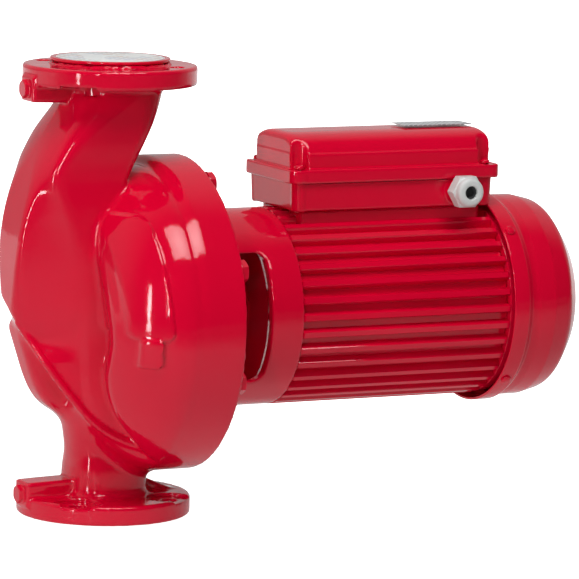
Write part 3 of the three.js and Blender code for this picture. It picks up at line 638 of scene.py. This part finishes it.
def casing_field(p):
    x, y, z = p.T
    up = z - AXIS_Z
    r = np.hypot(y, up)
    port = np.hypot(x, y)
    spiral = r + DRUM_RADIUS - shell_radius(y, up)
    foot = below_line(KEEL_LINE, patch_place(x, y)[0], z, 6)

    shell, drum = shell_fields(x, y, z, r, spiral)
    body = smooth_min(shell, drum, 5)
    body = union(3, body, *pad_fields(x, y, z, shell))
    body = cut(body, pocket_field(x, y, z, shell), 3)
    duct = smooth_max(overlap(2, duct_field(x, y, z), foot), z - DUCT_TOP, 6)
    body = smooth_min(body, duct, 7)
    body = smooth_min(body, keel_field(x, y, z), 4)
    body = smooth_min(body, lobe_field(x, y, z), 8)
    body = smooth_min(body, neck_field(x, y, z), 9)

    low_body, low_spot, low_hole = flange_field(port, x, y, z)
    top_body, top_spot, top_hole = flange_field(port, x, y, TOP - z)
    body = smooth_min(body, np.minimum(low_body, top_body), 8)
    for height in (z, TOP - z):
        body = union(3, body, *boss_fields(x, y, height))
    keep_boss = np.abs(y) - 15 - 3 * (x > 0)
    body = cut(body, overlap(1, low_spot, -keep_boss, y, -62 - x), 1.5)
    body = cut(body, overlap(1, top_spot, -keep_boss, x + 12), 1.5)

    body = cut(body, hollow_field(x, y, z, r, port, spiral, foot), 2)
    holes = np.minimum(low_hole, top_hole)
    holes = np.maximum(holes, np.minimum(z - HOLE_DEPTH, TOP - HOLE_DEPTH - z))
    taps = np.minimum(np.hypot(y, z - TAP_HEIGHT), np.hypot(y, TOP - TAP_HEIGHT - z)) - TAP_RADIUS
    taps = np.maximum(taps, x - TAP_END)
    return cut(cut(body, holes, 1.2), taps, 1)


CASING_VOXEL, BRACKET_VOXEL = ((2.6, 2.3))
casing_mesh = cast("casing", casing_field, CASING_LOW, CASING_HIGH, CASING_VOXEL)
piece("casing", casing_mesh, RED, "casing_and_motor", ["volute_casing"])


# ---- hexagon heads ----
def hex_head(name, radius, height, dome=1.2, flange=0.0, voxel=0.8):
    """A hexagon head with chamfered corners, seen along local Z, from 0 to its height."""
    flat = radius * math.cos(math.pi / 6)

    def field(p):
        u, v, w = p.T
        r = np.hypot(u, v)
        head = overlap(0.8, hexagon(u, v, flat), between(w, 0, height), r + 1.7 * (w - height) - flat - 0.3)
        washer = overlap(0.6, r - flange, between(w, 0, dome)) if flange else head
        return smooth_min(head, washer, 1.0)

    reach = max(radius, flange)
    return cast(name, field, (-reach, -reach, 0), (reach, reach, height), voxel)


PLUG_HEIGHT, BOLT_HEIGHT = 6.0, 7.5
BOLT_SINK = 5.5  # how far a bolt head's base lies behind its CAD node's end
plug_mesh = hex_head("plug", 8.6, PLUG_HEIGHT, 1.6, 9.2)
for where in ("lower", "upper"):
    low, high = box_mm(f"tapping_plug_{where}")
    base = (low[0] + PLUG_HEIGHT, 0, (low[2] + high[2]) / 2)
    piece(
        f"tapping_plug_{where}", plug_mesh, RED, "casing_and_motor",
        [f"tapping_plug_{where}"], towards((-1, 0, 0), base),
    )

bolt_mesh = hex_head("bolt", 10.97, BOLT_HEIGHT, 1.5, 11.4, 1.0)
for i in range(8):
    node = f"casing_bolt_{i + 1}"
    low, high = box_mm(node)
    base = (high[0] - BOLT_SINK, (low[1] + high[1]) / 2, (low[2] + high[2]) / 2)
    piece(node, bolt_mesh, RED, "casing_and_motor", [node], towards((1, 0, 0), base))


# ---- motor bracket ----
WINDOW_MIDDLE, WINDOW_HALF, WINDOW_RISE, WINDOW_CORNER = 105, 21, 59.0, 10.0
PLATE_RADIUS, SKIRT_RADIUS, CUP_INSIDE, SPIGOT_INTO_MOTOR = 111.7, 91.8, 82, 75.7
HUB_RADIUS, HUB_START, HUB_END = 38, 126, 151
WEB_FRONT, WEB_BACK = 127.7, 134
BEARING_SEAT, SHAFT_BORE = 31.3, 17
BOLT_CIRCLE, BOLT_BORE = 132, 6.6


def bracket_field(p):
    x, y, z = p.T
    up = z - AXIS_Z
    r = np.hypot(y, up)
    flange = overlap(1.5, r - LIP_INSIDE + 0.4, x - FLANGE_BACK)
    flange = smooth_max(flange, DRUM_BACK + GAP - x, 0.3)
    skirt = overlap(1.5, r - SKIRT_RADIUS, between(x, 62, BRACKET_HIGH[0] - 6))
    cup = smooth_min(flange, skirt, 8)
    inner = overlap(4, r - CUP_INSIDE, between(x, DRUM_BACK, 128))
    opening = rounded_slab(WINDOW_HALF, x - WINDOW_MIDDLE, WINDOW_RISE, up, WINDOW_CORNER)
    window = overlap(3, opening, 20 - np.abs(y))
    plate = overlap(1, r - PLATE_RADIUS, between(x, 45, DRUM_BACK + 2))
    body = cut(union(3, cut(cup, inner, 3), plate), window, 3)
    spigot = overlap(1, r - SPIGOT_INTO_MOTOR, between(x, BRACKET_HIGH[0] - 9, BRACKET_HIGH[0]))
    hub = overlap(2, r - HUB_RADIUS, between(x, HUB_START, HUB_END))
    web = overlap(2, r - 84, between(x, WEB_FRONT, WEB_BACK))
    body = union(3, body, spigot, web, hub)
    seat = overlap(1, r - BEARING_SEAT, between(x, 133.7, 170))
    hollow = overlap(1, r - 70, between(x, WEB_BACK, 170), HUB_RADIUS - r)
    bore = r - SHAFT_BORE
    body = cut(cut(cut(body, hollow, 2), seat, 1), bore, 1)
    angle = np.mod(np.arctan2(y, up), math.pi / 4) - math.pi / 8
    bolt = np.hypot(r * np.sin(angle), r * np.cos(angle) - BOLT_CIRCLE) - BOLT_BORE
    return cut(body, np.maximum(bolt, 58 - x), 0.8)


bracket_mesh = cast("bracket", bracket_field, BRACKET_LOW, BRACKET_HIGH, BRACKET_VOXEL)
piece("bracket", bracket_mesh, RED, "casing_and_motor", ["motor_bracket"])


# ---- finned motor frame ----
FINS = 36
FIN_TIP, FIN_ROOT, FRAME_BORE = 92.0, 84.5, 76.3


def fin_outline():
    """One turn of ribs: a round crown and a flat-bottomed groove for each."""
    pitch = 2 * math.pi / FINS
    left = ((-0.5, 0), (-0.3, 0), (-0.27, 0.12), (-0.2, 0.86), (-0.15, 1))
    shape = left + tuple((-turn, height) for turn, height in left[:0:-1])
    points = []
    for i in range(FINS):
        for turn, height in shape:
            angle = (i + turn) * pitch
            radius = FIN_ROOT + (FIN_TIP - FIN_ROOT) * height
            points.append((radius * math.cos(angle), radius * math.sin(angle)))
    return points


def barrel(name, outline, bore, start, end, chamfer=1.0):
    """A tube between a toothed outline and a round bore, its outer end edges chamfered."""
    outline = np.array(outline)
    angles = np.arctan2(outline[:, 1], outline[:, 0])
    inner = bore * np.column_stack([np.cos(angles), np.sin(angles)])
    shrink = 1 - chamfer / np.linalg.norm(outline, axis=1, keepdims=True)
    loops = [
        (inner, start), (outline * shrink, start), (outline, start + chamfer),
        (outline, end - chamfer), (outline * shrink, end), (inner, end),
    ]
    points = np.concatenate([np.column_stack([ring, np.full(len(ring), at)]) for ring, at in loops])
    count = len(outline)
    faces = [
        (i * count + k, i * count + (k + 1) % count, j * count + (k + 1) % count, j * count + k)
        for i in range(len(loops))
        for j in [(i + 1) % len(loops)]
        for k in range(count)
    ]
    return cleaned(mesh_from(name, points, faces))


piece(
    "motor_barrel",
    barrel("motor_barrel", fin_outline(), FRAME_BORE, FRAME_LOW[0], FRAME_HIGH[0]),
    RED, "casing_and_motor", ["motor_frame"], ON_SHAFT, sharp=40,
)


LEAD_X, LEAD_RADIUS = 230, 12  # the hole that the windings' leads come up through


def pedestal_field(p):
    x, y, z = p.T
    up = z - AXIS_Z
    block = overlap(3, rounded_slab(94, x - 270, 42, y, 5), between(z, AXIS_Z + 70, BASE_LOW[2] - 0.3))
    return cut(cut(block, np.hypot(y, up) - 80, 1), np.hypot(x - LEAD_X, y) - LEAD_RADIUS, 1)


pedestal_mesh = cast("pedestal", pedestal_field, (176, -42, 258), (364, 42, 280.5), 2.0)
piece("box_pedestal", pedestal_mesh, RED, "casing_and_motor", [])


# ---- rear end shield, fan and fan cover ----
shield_outline = rounded_outline(
    [(352, 26.3), (352, 34), (371, 34), (371, 70), (366, 70), (366, 75.7), (373.3, 75.7), (373.3, 91),
     (382, 91), (382, 12), (370, 12), (370, 26.3)], 0.8,
)
piece(
    "rear_shield", revolve("rear_shield", shield_outline, 72), RED, "casing_and_motor",
    ["rear_end_shield"], ON_SHAFT, sharp=35,
)

cover_outline = rounded_outline(
    [(458, 0), (458, 44, 14), (451, 68, 12), (436, 87, 12), (417, 92.5, 8), (402, 92.5, 4), (394, 92, 4),
     (390, 97, 3), (373.5, 97, 1), (373.5, 99.3, 1), (389, 99.3, 3), (395, 94.5, 4), (403, 95.5, 4),
     (419, 95.5, 10), (438, 91, 14), (454, 71, 14), (461, 44, 14), (461, 0)], 2, 5,
)
cover = piece(
    "fan_cover", revolve("fan_cover", cover_outline, 128), RED, "casing_and_motor",
    ["fan_cover"], ON_SHAFT,
)


def prism(name, outline, low, high):
    """A flat outline drawn out along local Z."""
    count = len(outline)
    points = [(u, v, w) for w in (low, high) for u, v in outline]
    faces = [(k, (k + 1) % count, count + (k + 1) % count, count + k) for k in range(count)]
    faces += [tuple(range(count))[::-1], tuple(range(count, 2 * count))]
    mesh = bpy.data.meshes.new(name)
    mesh.from_pydata((np.array(points) * MM).tolist(), [], faces)
    return cleaned(mesh)


SLOTS = 12


def slot_tool(angle):
    """A round-ended bar through the cover's back, at 48 mm from the axis."""
    bar = rounded_outline([(-5, 28), (5, 28), (5, 68), (-5, 68)], 4.9, 5)
    turned = bar @ np.array([[math.cos(angle), math.sin(angle)], [-math.sin(angle), math.cos(angle)]])
    mesh = prism("slot_tool", turned, 430, 470)
    mesh.transform(ON_SHAFT)
    return mesh


cover.data.transform(ON_SHAFT)
cover.matrix_world = Matrix.Identity(4)
carve(cover, [slot_tool(2 * math.pi * i / SLOTS) for i in range(SLOTS)])
cover.data.set_sharp_from_angle(angle=math.radians(38))

COVER_RIM = 99.1
screw_outline = rounded_outline([(0, 0), (0, 5), (2, 4.8), (3.2, 3.2), (3.4, 0)], 0.8)
screw_mesh = revolve("cover_screw", screw_outline, 24)
for i in range(4):
    node = f"fan_cover_screw_{i + 1}"
    low, high = box_mm(node)
    middle = (low + high) / 2
    out = Vector((0, middle[1], middle[2] - AXIS_Z)).normalized()
    base = (middle[0], out.y * COVER_RIM, AXIS_Z + out.z * COVER_RIM)
    piece(node, screw_mesh, RED, "casing_and_motor", [node], towards(out, base))


# ---- terminal box ----
SCREW_ALONG, SCREW_ACROSS, SCREW_BORE = 97, 44, 2.5
GLAND_BORE, COLLAR_RADIUS = 10.3, 15


def to_screw(along, y):
    """Distance to the nearest lid screw's axis."""
    return np.hypot(np.abs(along) - SCREW_ALONG, np.abs(y) - SCREW_ACROSS)


def base_field(p):
    x, y, z = p.T
    along = x - BOX_X
    half_length, half_width = (BASE_HIGH - BASE_LOW)[:2] / 2
    draft = 0.035 * (BASE_HIGH[2] - z)
    wall = rounded_slab(half_length - draft, along, half_width - draft, y, 8)
    outer = np.maximum(overlap(2.5, wall, BASE_LOW[2] - z), z - BASE_HIGH[2])
    inner = overlap(3, rounded_slab(half_length - 4, along, half_width - 4, y, 5), BASE_LOW[2] + 2.5 - z)
    posts = overlap(1, to_screw(along, y) - 6, outer)
    body = union(2, cut(outer, inner, 1), posts)
    screws = np.maximum(to_screw(along, y) - SCREW_BORE, 289 - z)
    lead = np.maximum(np.hypot(x - LEAD_X, y) - LEAD_RADIUS, z - 292)
    to_gland = np.hypot(x - GLAND_X, z - GLAND_Z)
    gland = np.maximum(to_gland - GLAND_BORE, y + 40)
    for tool in (screws, lead, gland):
        body = cut(body, tool, 0.6)
    collar = overlap(0.8, to_gland - COLLAR_RADIUS, between(y, -half_width - 0.1, -half_width + 3))
    collar = np.maximum(collar, between(z, BASE_LOW[2], BASE_HIGH[2]))
    return cut(union(1.5, body, collar), gland, 0.6)


base_mesh = cast("box_base", base_field, BASE_LOW, BASE_HIGH, 1.8)
piece("box_base", base_mesh, RED, "casing_and_motor", ["terminal_box_base"])

LID_TOP, RIM_TOP = LID_HIGH[2], LID_LOW[2] + 11
LEDGE = 334.0  # height of the step between the lid's wall and its dome
LID_HALF_LENGTH, LID_HALF_WIDTH = 103.5, 47.5
LID_WALL = 3.5


def lid_form(along, y, z, inset):
    """The lid's domed body, drawn in by an inset."""
    half_length, half_width = LID_HALF_LENGTH - inset, LID_HALF_WIDTH - inset
    wall = rounded_slab(half_length, along, half_width, y, 5)
    crown = LID_TOP + 1 - inset - 3.1e-6 * y**4
    roof = rounded_slab(half_width - 1.6, y, 200, z - crown + 200, 13 - inset)
    upper = overlap(9, roof, np.abs(along) - half_length, LEDGE - 10 - z)
    lower = overlap(2, wall, z - LEDGE + inset, LID_LOW[2] - z)
    upper = smooth_max(upper, z - crown, 6)
    return smooth_min(lower, upper, 1.5)


def lid_field(p):
    x, y, z = p.T
    along = x - BOX_X
    corner = to_screw(along, y)
    form = lid_form(along - 1, y, z, 0)
    rim_half = (LID_HIGH - LID_LOW)[:2] / 2
    rim = rounded_slab(rim_half[0] + 1.5, along - 1, rim_half[1], y, 8)
    rim = overlap(2, rim, between(z, LID_LOW[2] - 1.7, RIM_TOP))
    lugs = overlap(1.5, corner - 9.2, between(z, LID_LOW[2] + 1, RIM_TOP + 1))
    body = union(2, form, rim, lugs)
    body = cut(body, np.maximum(corner - 8, RIM_TOP - z), 3)
    hollow = np.maximum(lid_form(along - 1, y, z, LID_WALL), 11.5 - corner)
    hollow = overlap(1, hollow, LID_LOW[2] - 4 - z)
    body = cut(body, hollow, 1)
    skirt = np.maximum(rounded_slab(104, along, 50.5, y, 8), z - LID_LOW[2])
    body = cut(body, skirt, 0.4)
    return cut(body, corner - SCREW_BORE, 0.5)


lid_mesh = cast("box_lid", lid_field, LID_LOW - 3, LID_HIGH + 4, 1.8)
piece("box_lid", lid_mesh, RED, "lid", ["terminal_box_lid"])

LID_SCREW_HEAD = 4
lid_screw_outline = rounded_outline(
    [(-28, 0), (-28, 2), (0, 2), (0, 4.5), (2.4, 4.3), (3.8, 3), (LID_SCREW_HEAD, 0)], 0.7
)
lid_screw_mesh = revolve("lid_screw", lid_screw_outline, 24)
for i in range(4):
    node = f"lid_screw_{i + 1}"
    low, high = box_mm(node)
    middle = (low + high) / 2
    base = (middle[0], middle[1], high[2] - LID_SCREW_HEAD)
    piece(node, lid_screw_mesh, RED, "lid", [node], towards((0, 0, 1), base))


# ---- cable gland ----
GLAND_PLACE = towards((0, -1, 0), (GLAND_X, BASE_LOW[1], GLAND_Z))
body_outline = rounded_outline(
    [(-10, 7), (-10, 10), (0.3, 10), (0.3, 12), (4, 12), (4, 14), (6, 13.5), (6, 9.5), (13, 9.5),
     (13, 7)], 0.5,
)
piece(
    "gland_body", revolve("gland_body", body_outline, 48), RED, "casing_and_motor",
    ["gland_body"], GLAND_PLACE, sharp=40,
)


NUT_FLAT, NUT_BASE, NUT_SHOULDER, NUT_END = 14.4, 6.3, 18.3, 25.5


def nut_field(p):
    """The gland's nut: a hexagon chamfered at both ends, under a round dome."""
    u, v, w = p.T
    r = np.hypot(u, v)
    upper_chamfer = r + 1.6 * (w - NUT_SHOULDER) - 15.2
    lower_chamfer = r + 1.6 * (NUT_BASE - w) - 15.6
    head = overlap(
        1.2, hexagon(v, u, NUT_FLAT), between(w, NUT_BASE, NUT_SHOULDER), upper_chamfer, lower_chamfer
    )
    dome = overlap(5, r - 13.6, w - NUT_END)
    dome = np.maximum(dome, 10 - w)
    body = smooth_min(head, dome, 1.5)
    body = cut(body, np.maximum(r - 9.8, w - 21), 0.5)
    return cut(body, r - 6.2, 1.6)


NUT_REACH = 16.6
nut_mesh = cast(
    "gland_nut", nut_field, (-NUT_REACH, -NUT_REACH, NUT_BASE), (NUT_REACH, NUT_REACH, NUT_END), 0.9
)
piece("gland_nut", nut_mesh, NYLON, "casing_and_motor", ["gland_nut"], GLAND_PLACE)
insert_outline = rounded_outline(
    [(13.3, 0), (13.3, 9.4), (20.7, 9.4), (20.7, 5.2), (17, 4.6), (17, 0)], 0.4
)
piece(
    "gland_insert", revolve("gland_insert", insert_outline, 32), RUBBER, "casing_and_motor",
    ["gland_insert"], GLAND_PLACE, sharp=40,
)

blank_outline = rounded_outline([(12, 0), (12, 6.6), (13, 6.6), (13, 0)], 0.2)
piece(
    "gland_blank", revolve("gland_blank", blank_outline, 32), RED, "casing_and_motor",
    [], GLAND_PLACE, sharp=40,
)


# ---- port cover and its sticker ----
cover_low, cover_high = box_mm("inlet_port_cover")
PLUG_TOP = cover_high[2]
port_cover_outline = rounded_outline(
    [(cover_low[2], 0), (cover_low[2], 31, 1), (TOP + 0.3, 32, 0.3), (TOP + 0.3, FACE_RADIUS, 1.2),
     (PLUG_TOP, FACE_RADIUS, 1.2), (PLUG_TOP, 50.4, 0.5), (PLUG_TOP - 0.5, 50, 0.3),
     (PLUG_TOP - 0.5, 0)], 0.5,
)
piece(
    "port_cover", revolve("port_cover", port_cover_outline, 96), RED, "port_cover",
    ["inlet_port_cover"], ON_PORT, sharp=35,
)


def printed_bars(tree, vector, width, height, gap, first, second, paper):
    """Rows of plain bars, as a colour, on local X and Y in metres."""
    rows = linked(
        tree, "ShaderNodeTexBrick", Scale=1.0, Brick_Width=width, Row_Height=height, Mortar_Size=gap,
        Color1=first, Color2=second, Mortar=paper,
    )
    tree.links.new(vector, rows.inputs["Vector"])
    return rows.outputs["Color"]


PAPER = (0.78, 0.79, 0.78, 1)


def sticker_material():
    """Pale print paper with patches of plain bars, no lettering."""
    made, tree, target = shader("sticker")
    where = tree.nodes.new("ShaderNodeTexCoord")
    bars = printed_bars(
        tree, where.outputs["Object"], 0.013, 0.006, 0.0016, (0.62, 0.4, 0.3, 1), (0.36, 0.43, 0.56, 1), PAPER
    )
    patches = noise(tree, 28.0, 2.0)
    steep = tree.nodes.new("ShaderNodeValToRGB")
    steep.color_ramp.elements[0].position = 0.46
    steep.color_ramp.elements[1].position = 0.5
    tree.links.new(patches, steep.inputs["Fac"])
    mixed = tree.nodes.new("ShaderNodeMix")
    mixed.data_type = "RGBA"
    tree.links.new(steep.outputs["Color"], mixed.inputs["Factor"])
    mixed.inputs["A"].default_value = PAPER
    tree.links.new(bars, mixed.inputs["B"])
    tree.links.new(mixed.outputs["Result"], target.inputs["Base Color"])
    tree.links.new(spread(tree, noise(tree, 90.0), 0.35, 0.5), target.inputs["Roughness"])
    return made


STICKER_BASE, STICKER_RADIUS = PLUG_TOP - 0.45, 49.6
sticker_outline = rounded_outline(
    [(STICKER_BASE, 0), (STICKER_BASE, STICKER_RADIUS), (PLUG_TOP, STICKER_RADIUS), (PLUG_TOP, 0)], 0.15
)
piece(
    "port_sticker", revolve("port_sticker", sticker_outline, 96), sticker_material(), "port_cover",
    [], ON_PORT, sharp=35,
)


# ---- nameplate ----
def plate_material():
    """Brushed aluminium with rows of plain etched bars, no lettering."""
    made, tree, target = shader("nameplate")
    where = tree.nodes.new("ShaderNodeTexCoord")
    bars = printed_bars(
        tree, where.outputs["Object"], 0.005, 0.0032, 0.0009,
        (0.24, 0.24, 0.25, 1), (0.6, 0.61, 0.62, 1), (0.72, 0.73, 0.74, 1),
    )
    tree.links.new(bars, target.inputs["Base Color"])
    target.inputs["Metallic"].default_value = 0.6
    tree.links.new(spread(tree, noise(tree, 200.0), 0.3, 0.5), target.inputs["Roughness"])
    return made


PLATE_LONGER, PLATE_RAISED = 30, 1  # the plate is longer than its CAD node and lies on the higher lid
plate_low, plate_high = box_mm("nameplate")
plate_low = plate_low + (-PLATE_LONGER, 0, PLATE_RAISED)
plate_high = plate_high + (0, 0, PLATE_RAISED)
plate_outline = rounded_outline(
    [(plate_low[0], plate_low[1]), (plate_high[0], plate_low[1]), (plate_high[0], plate_high[1]),
     (plate_low[0], plate_high[1])], 3,
)
piece(
    "nameplate", prism("nameplate", plate_outline, plate_low[2], plate_high[2]), plate_material(), "lid",
    ["nameplate"], sharp=40,
)

# ---- shaft line ----
shaft_outline = rounded_outline(
    [(-20, 0), (-20, 8), (-3, 8), (-3, 12), (24.3, 12), (24.3, 14), (134, 14), (134, 15), (150.3, 15),
     (150.3, 18), (353.7, 18), (353.7, 12.5), (369.3, 12.5), (369.3, 10), (414.3, 10), (414.3, 8.4),
     (416.3, 8.4), (416.3, 10), (420, 10), (420, 0)], 0.6,
)
seat_outline = rounded_outline([(44, 15), (44, 22), (53.7, 22), (53.7, 15)], 0.6)
ring_outline = rounded_outline([(36.3, 14.3), (36.3, 19), (43.7, 19), (43.7, 14.3)], 0.6)
bellows_outline = rounded_outline(
    [(24.7, 14.3), (24.7, 20), (27, 20), (28.5, 17), (30, 20), (31.5, 17), (33, 20), (36, 20),
     (36, 14.3)], 0.6,
)
slinger_outline = rounded_outline([(96, 14.3), (96, 24), (99, 30), (101, 30), (100, 14.3)], 0.6)
wear_outline = rounded_outline([(-33, 34.4), (-33, 38), (-24.3, 38), (-24.3, 34.4)], 0.4)
TURNED = (
    ("shaft", shaft_outline, STAINLESS, "rotor", "stainless_steel"),
    ("seal_seat", seat_outline, CERAMIC, "casing_and_motor", "seal_ceramic"),
    ("seal_rotating_ring", ring_outline, CARBON, "rotor", "seal_carbon"),
    ("seal_bellows", bellows_outline, RUBBER, "rotor", "black_rubber"),
    ("water_slinger", slinger_outline, RUBBER, "rotor", "black_rubber"),
    ("wear_ring", wear_outline, BRONZE, "casing_and_motor", "bronze"),
)
for name, outline, look, body, slot in TURNED:
    piece(name, revolve(name, outline), look, body, [name], ON_SHAFT, sharp=35)

# ---- inner pieces that keep their CAD meshes ----
LOOKS = {
    "stainless_steel": STAINLESS,
    "zinc_steel": ZINC,
    "laminated_steel": LAMINATED,
    "enamelled_copper": COPPER,
    "bronze": BRONZE,
    "grey_iron": IRON,
    "black_rubber": RUBBER,
    "black_plastic": BLACK,
    "white_plastic": WHITE,
    "seal_carbon": CARBON,
    "seal_ceramic": CERAMIC,
    "grey_nylon": NYLON,
    "red_enamel": RED,
    "plate_aluminium": ZINC,
}
for part in frame["record"]["subparts"]:
    node = frame["nodes"][part["node"]]
    if not node.hide_render:
        node.data.materials.clear()
        node.data.materials.append(LOOKS[part["material_slot"]])

# ---- stage ----
FLOOR_HALF, FLOOR_LEVEL = 14.0, -0.0005
floor_corners = [
    (x * FLOOR_HALF, y * FLOOR_HALF, FLOOR_LEVEL) for x, y in ((-1, -1), (1, -1), (1, 1), (-1, 1))
]
floor_mesh = bpy.data.meshes.new("floor")
floor_mesh.from_pydata(floor_corners, [], [(0, 1, 2, 3)])
floor = bpy.data.objects.new("floor", floor_mesh)
bpy.context.scene.collection.objects.link(floor)


def floor_material():
    """Matt white paper that glows by itself behind the pump, so that it runs into the white room."""
    made, tree, target = shader("floor")
    target.inputs["Base Color"].default_value = (0.6, 0.6, 0.6, 1)
    target.inputs["Roughness"].default_value = 0.6
    where = tree.nodes.new("ShaderNodeTexCoord")
    parts = tree.nodes.new("ShaderNodeSeparateXYZ")
    tree.links.new(where.outputs["Object"], parts.inputs["Vector"])
    depth = tree.nodes.new("ShaderNodeMapRange")
    depth.inputs["From Min"].default_value = -2.0
    depth.inputs["From Max"].default_value = 2.0
    tree.links.new(parts.outputs["Y"], depth.inputs["Value"])
    glow = tree.nodes.new("ShaderNodeValToRGB")
    glow.color_ramp.interpolation = "EASE"
    for place, level in ((0.2, 0.0), (0.4, 0.15), (0.55, 0.3), (0.8, 0.8)):
        stop = glow.color_ramp.elements.new(place)
        stop.color = (level, level, level, 1)
    glow.color_ramp.elements[0].color = (0, 0, 0, 1)
    glow.color_ramp.elements[-1].color = (0.95, 0.95, 0.95, 1)
    tree.links.new(depth.outputs["Result"], glow.inputs["Fac"])
    target.inputs["Emission Color"].default_value = (1, 1, 1, 1)
    rays = tree.nodes.new("ShaderNodeLightPath")
    lift = tree.nodes.new("ShaderNodeMath")
    lift.operation = "MULTIPLY_ADD"
    tree.links.new(rays.outputs["Is Camera Ray"], lift.inputs[0])
    lift.inputs[1].default_value = 0.88
    tree.links.new(glow.outputs["Color"], lift.inputs[2])
    tree.links.new(lift.outputs["Value"], target.inputs["Emission Strength"])
    return made


floor_mesh.materials.append(floor_material())
floor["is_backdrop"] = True

# The room: white behind the pump, dim on the camera's side so that the enamel stays deep.
world = bpy.data.worlds.new("room")
world.use_nodes = True
bpy.context.scene.world = world
tree = world.node_tree
background = tree.nodes["Background"]
where = tree.nodes.new("ShaderNodeTexCoord")
parts = tree.nodes.new("ShaderNodeSeparateXYZ")
tree.links.new(where.outputs["Generated"], parts.inputs["Vector"])
turn = tree.nodes.new("ShaderNodeMapRange")
turn.inputs["From Min"].default_value = -0.25
turn.inputs["From Max"].default_value = 0.35
turn.inputs["To Min"].default_value = 0.04
turn.inputs["To Max"].default_value = 0.5
turn.interpolation_type = "SMOOTHSTEP"
tree.links.new(parts.outputs["Y"], turn.inputs["Value"])
rays = tree.nodes.new("ShaderNodeLightPath")
seen = tree.nodes.new("ShaderNodeMath")
seen.operation = "MAXIMUM"
tree.links.new(rays.outputs["Is Camera Ray"], seen.inputs[0])
tree.links.new(turn.outputs["Result"], seen.inputs[1])
tree.links.new(seen.outputs["Value"], background.inputs["Strength"])
background.inputs["Color"].default_value = (1, 1, 1, 1)


def softbox(name, place, width, height, power, spread, target=(0.15, 0, 0.2)):
    light = bpy.data.lights.new(name, "AREA")
    light.shape = "RECTANGLE"
    light.size, light.size_y, light.energy = width, height, power
    light.spread = math.radians(spread)
    made = bpy.data.objects.new(name, light)
    made.location = place
    made.visible_camera = False
    made.rotation_euler = (Vector(target) - Vector(place)).to_track_quat("-Z", "Y").to_euler()
    bpy.context.scene.collection.objects.link(made)
    return made


softbox("overhead", (0.1, -1.1, 2.2), 1.6, 1.0, 8, spread=75)
softbox("left_strip", (-2.4, -1.15, 0.5), 0.2, 1.5, 2.6, spread=60)
softbox("front_left", (-2.0, -2.4, 1.3), 0.16, 1.4, 2.6, spread=60)

# ---- camera, at the photograph's viewing angle ----
CAMERA_PLACE = (-1.7838, -4.0245, 0.8281)
CAMERA_RIGHT = (0.89923, -0.43694, 0.02168)
CAMERA_UP = (0.04124, 0.13400, 0.99012)
CAMERA_BACK = (-0.43553, -0.88945, 0.13851)
camera_data = bpy.data.cameras.new("camera")
camera = bpy.data.objects.new("camera", camera_data)
bpy.context.scene.collection.objects.link(camera)
camera_data.sensor_width = 36.0
camera_data.lens = 301.2
rows = list(zip(CAMERA_RIGHT, CAMERA_UP, CAMERA_BACK, CAMERA_PLACE))
camera.matrix_world = Matrix([*rows, (0, 0, 0, 1)])
camera_data.clip_end = 60
bpy.context.scene.camera = camera
bpy.context.scene.view_settings.view_transform = "Standard"

low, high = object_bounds()
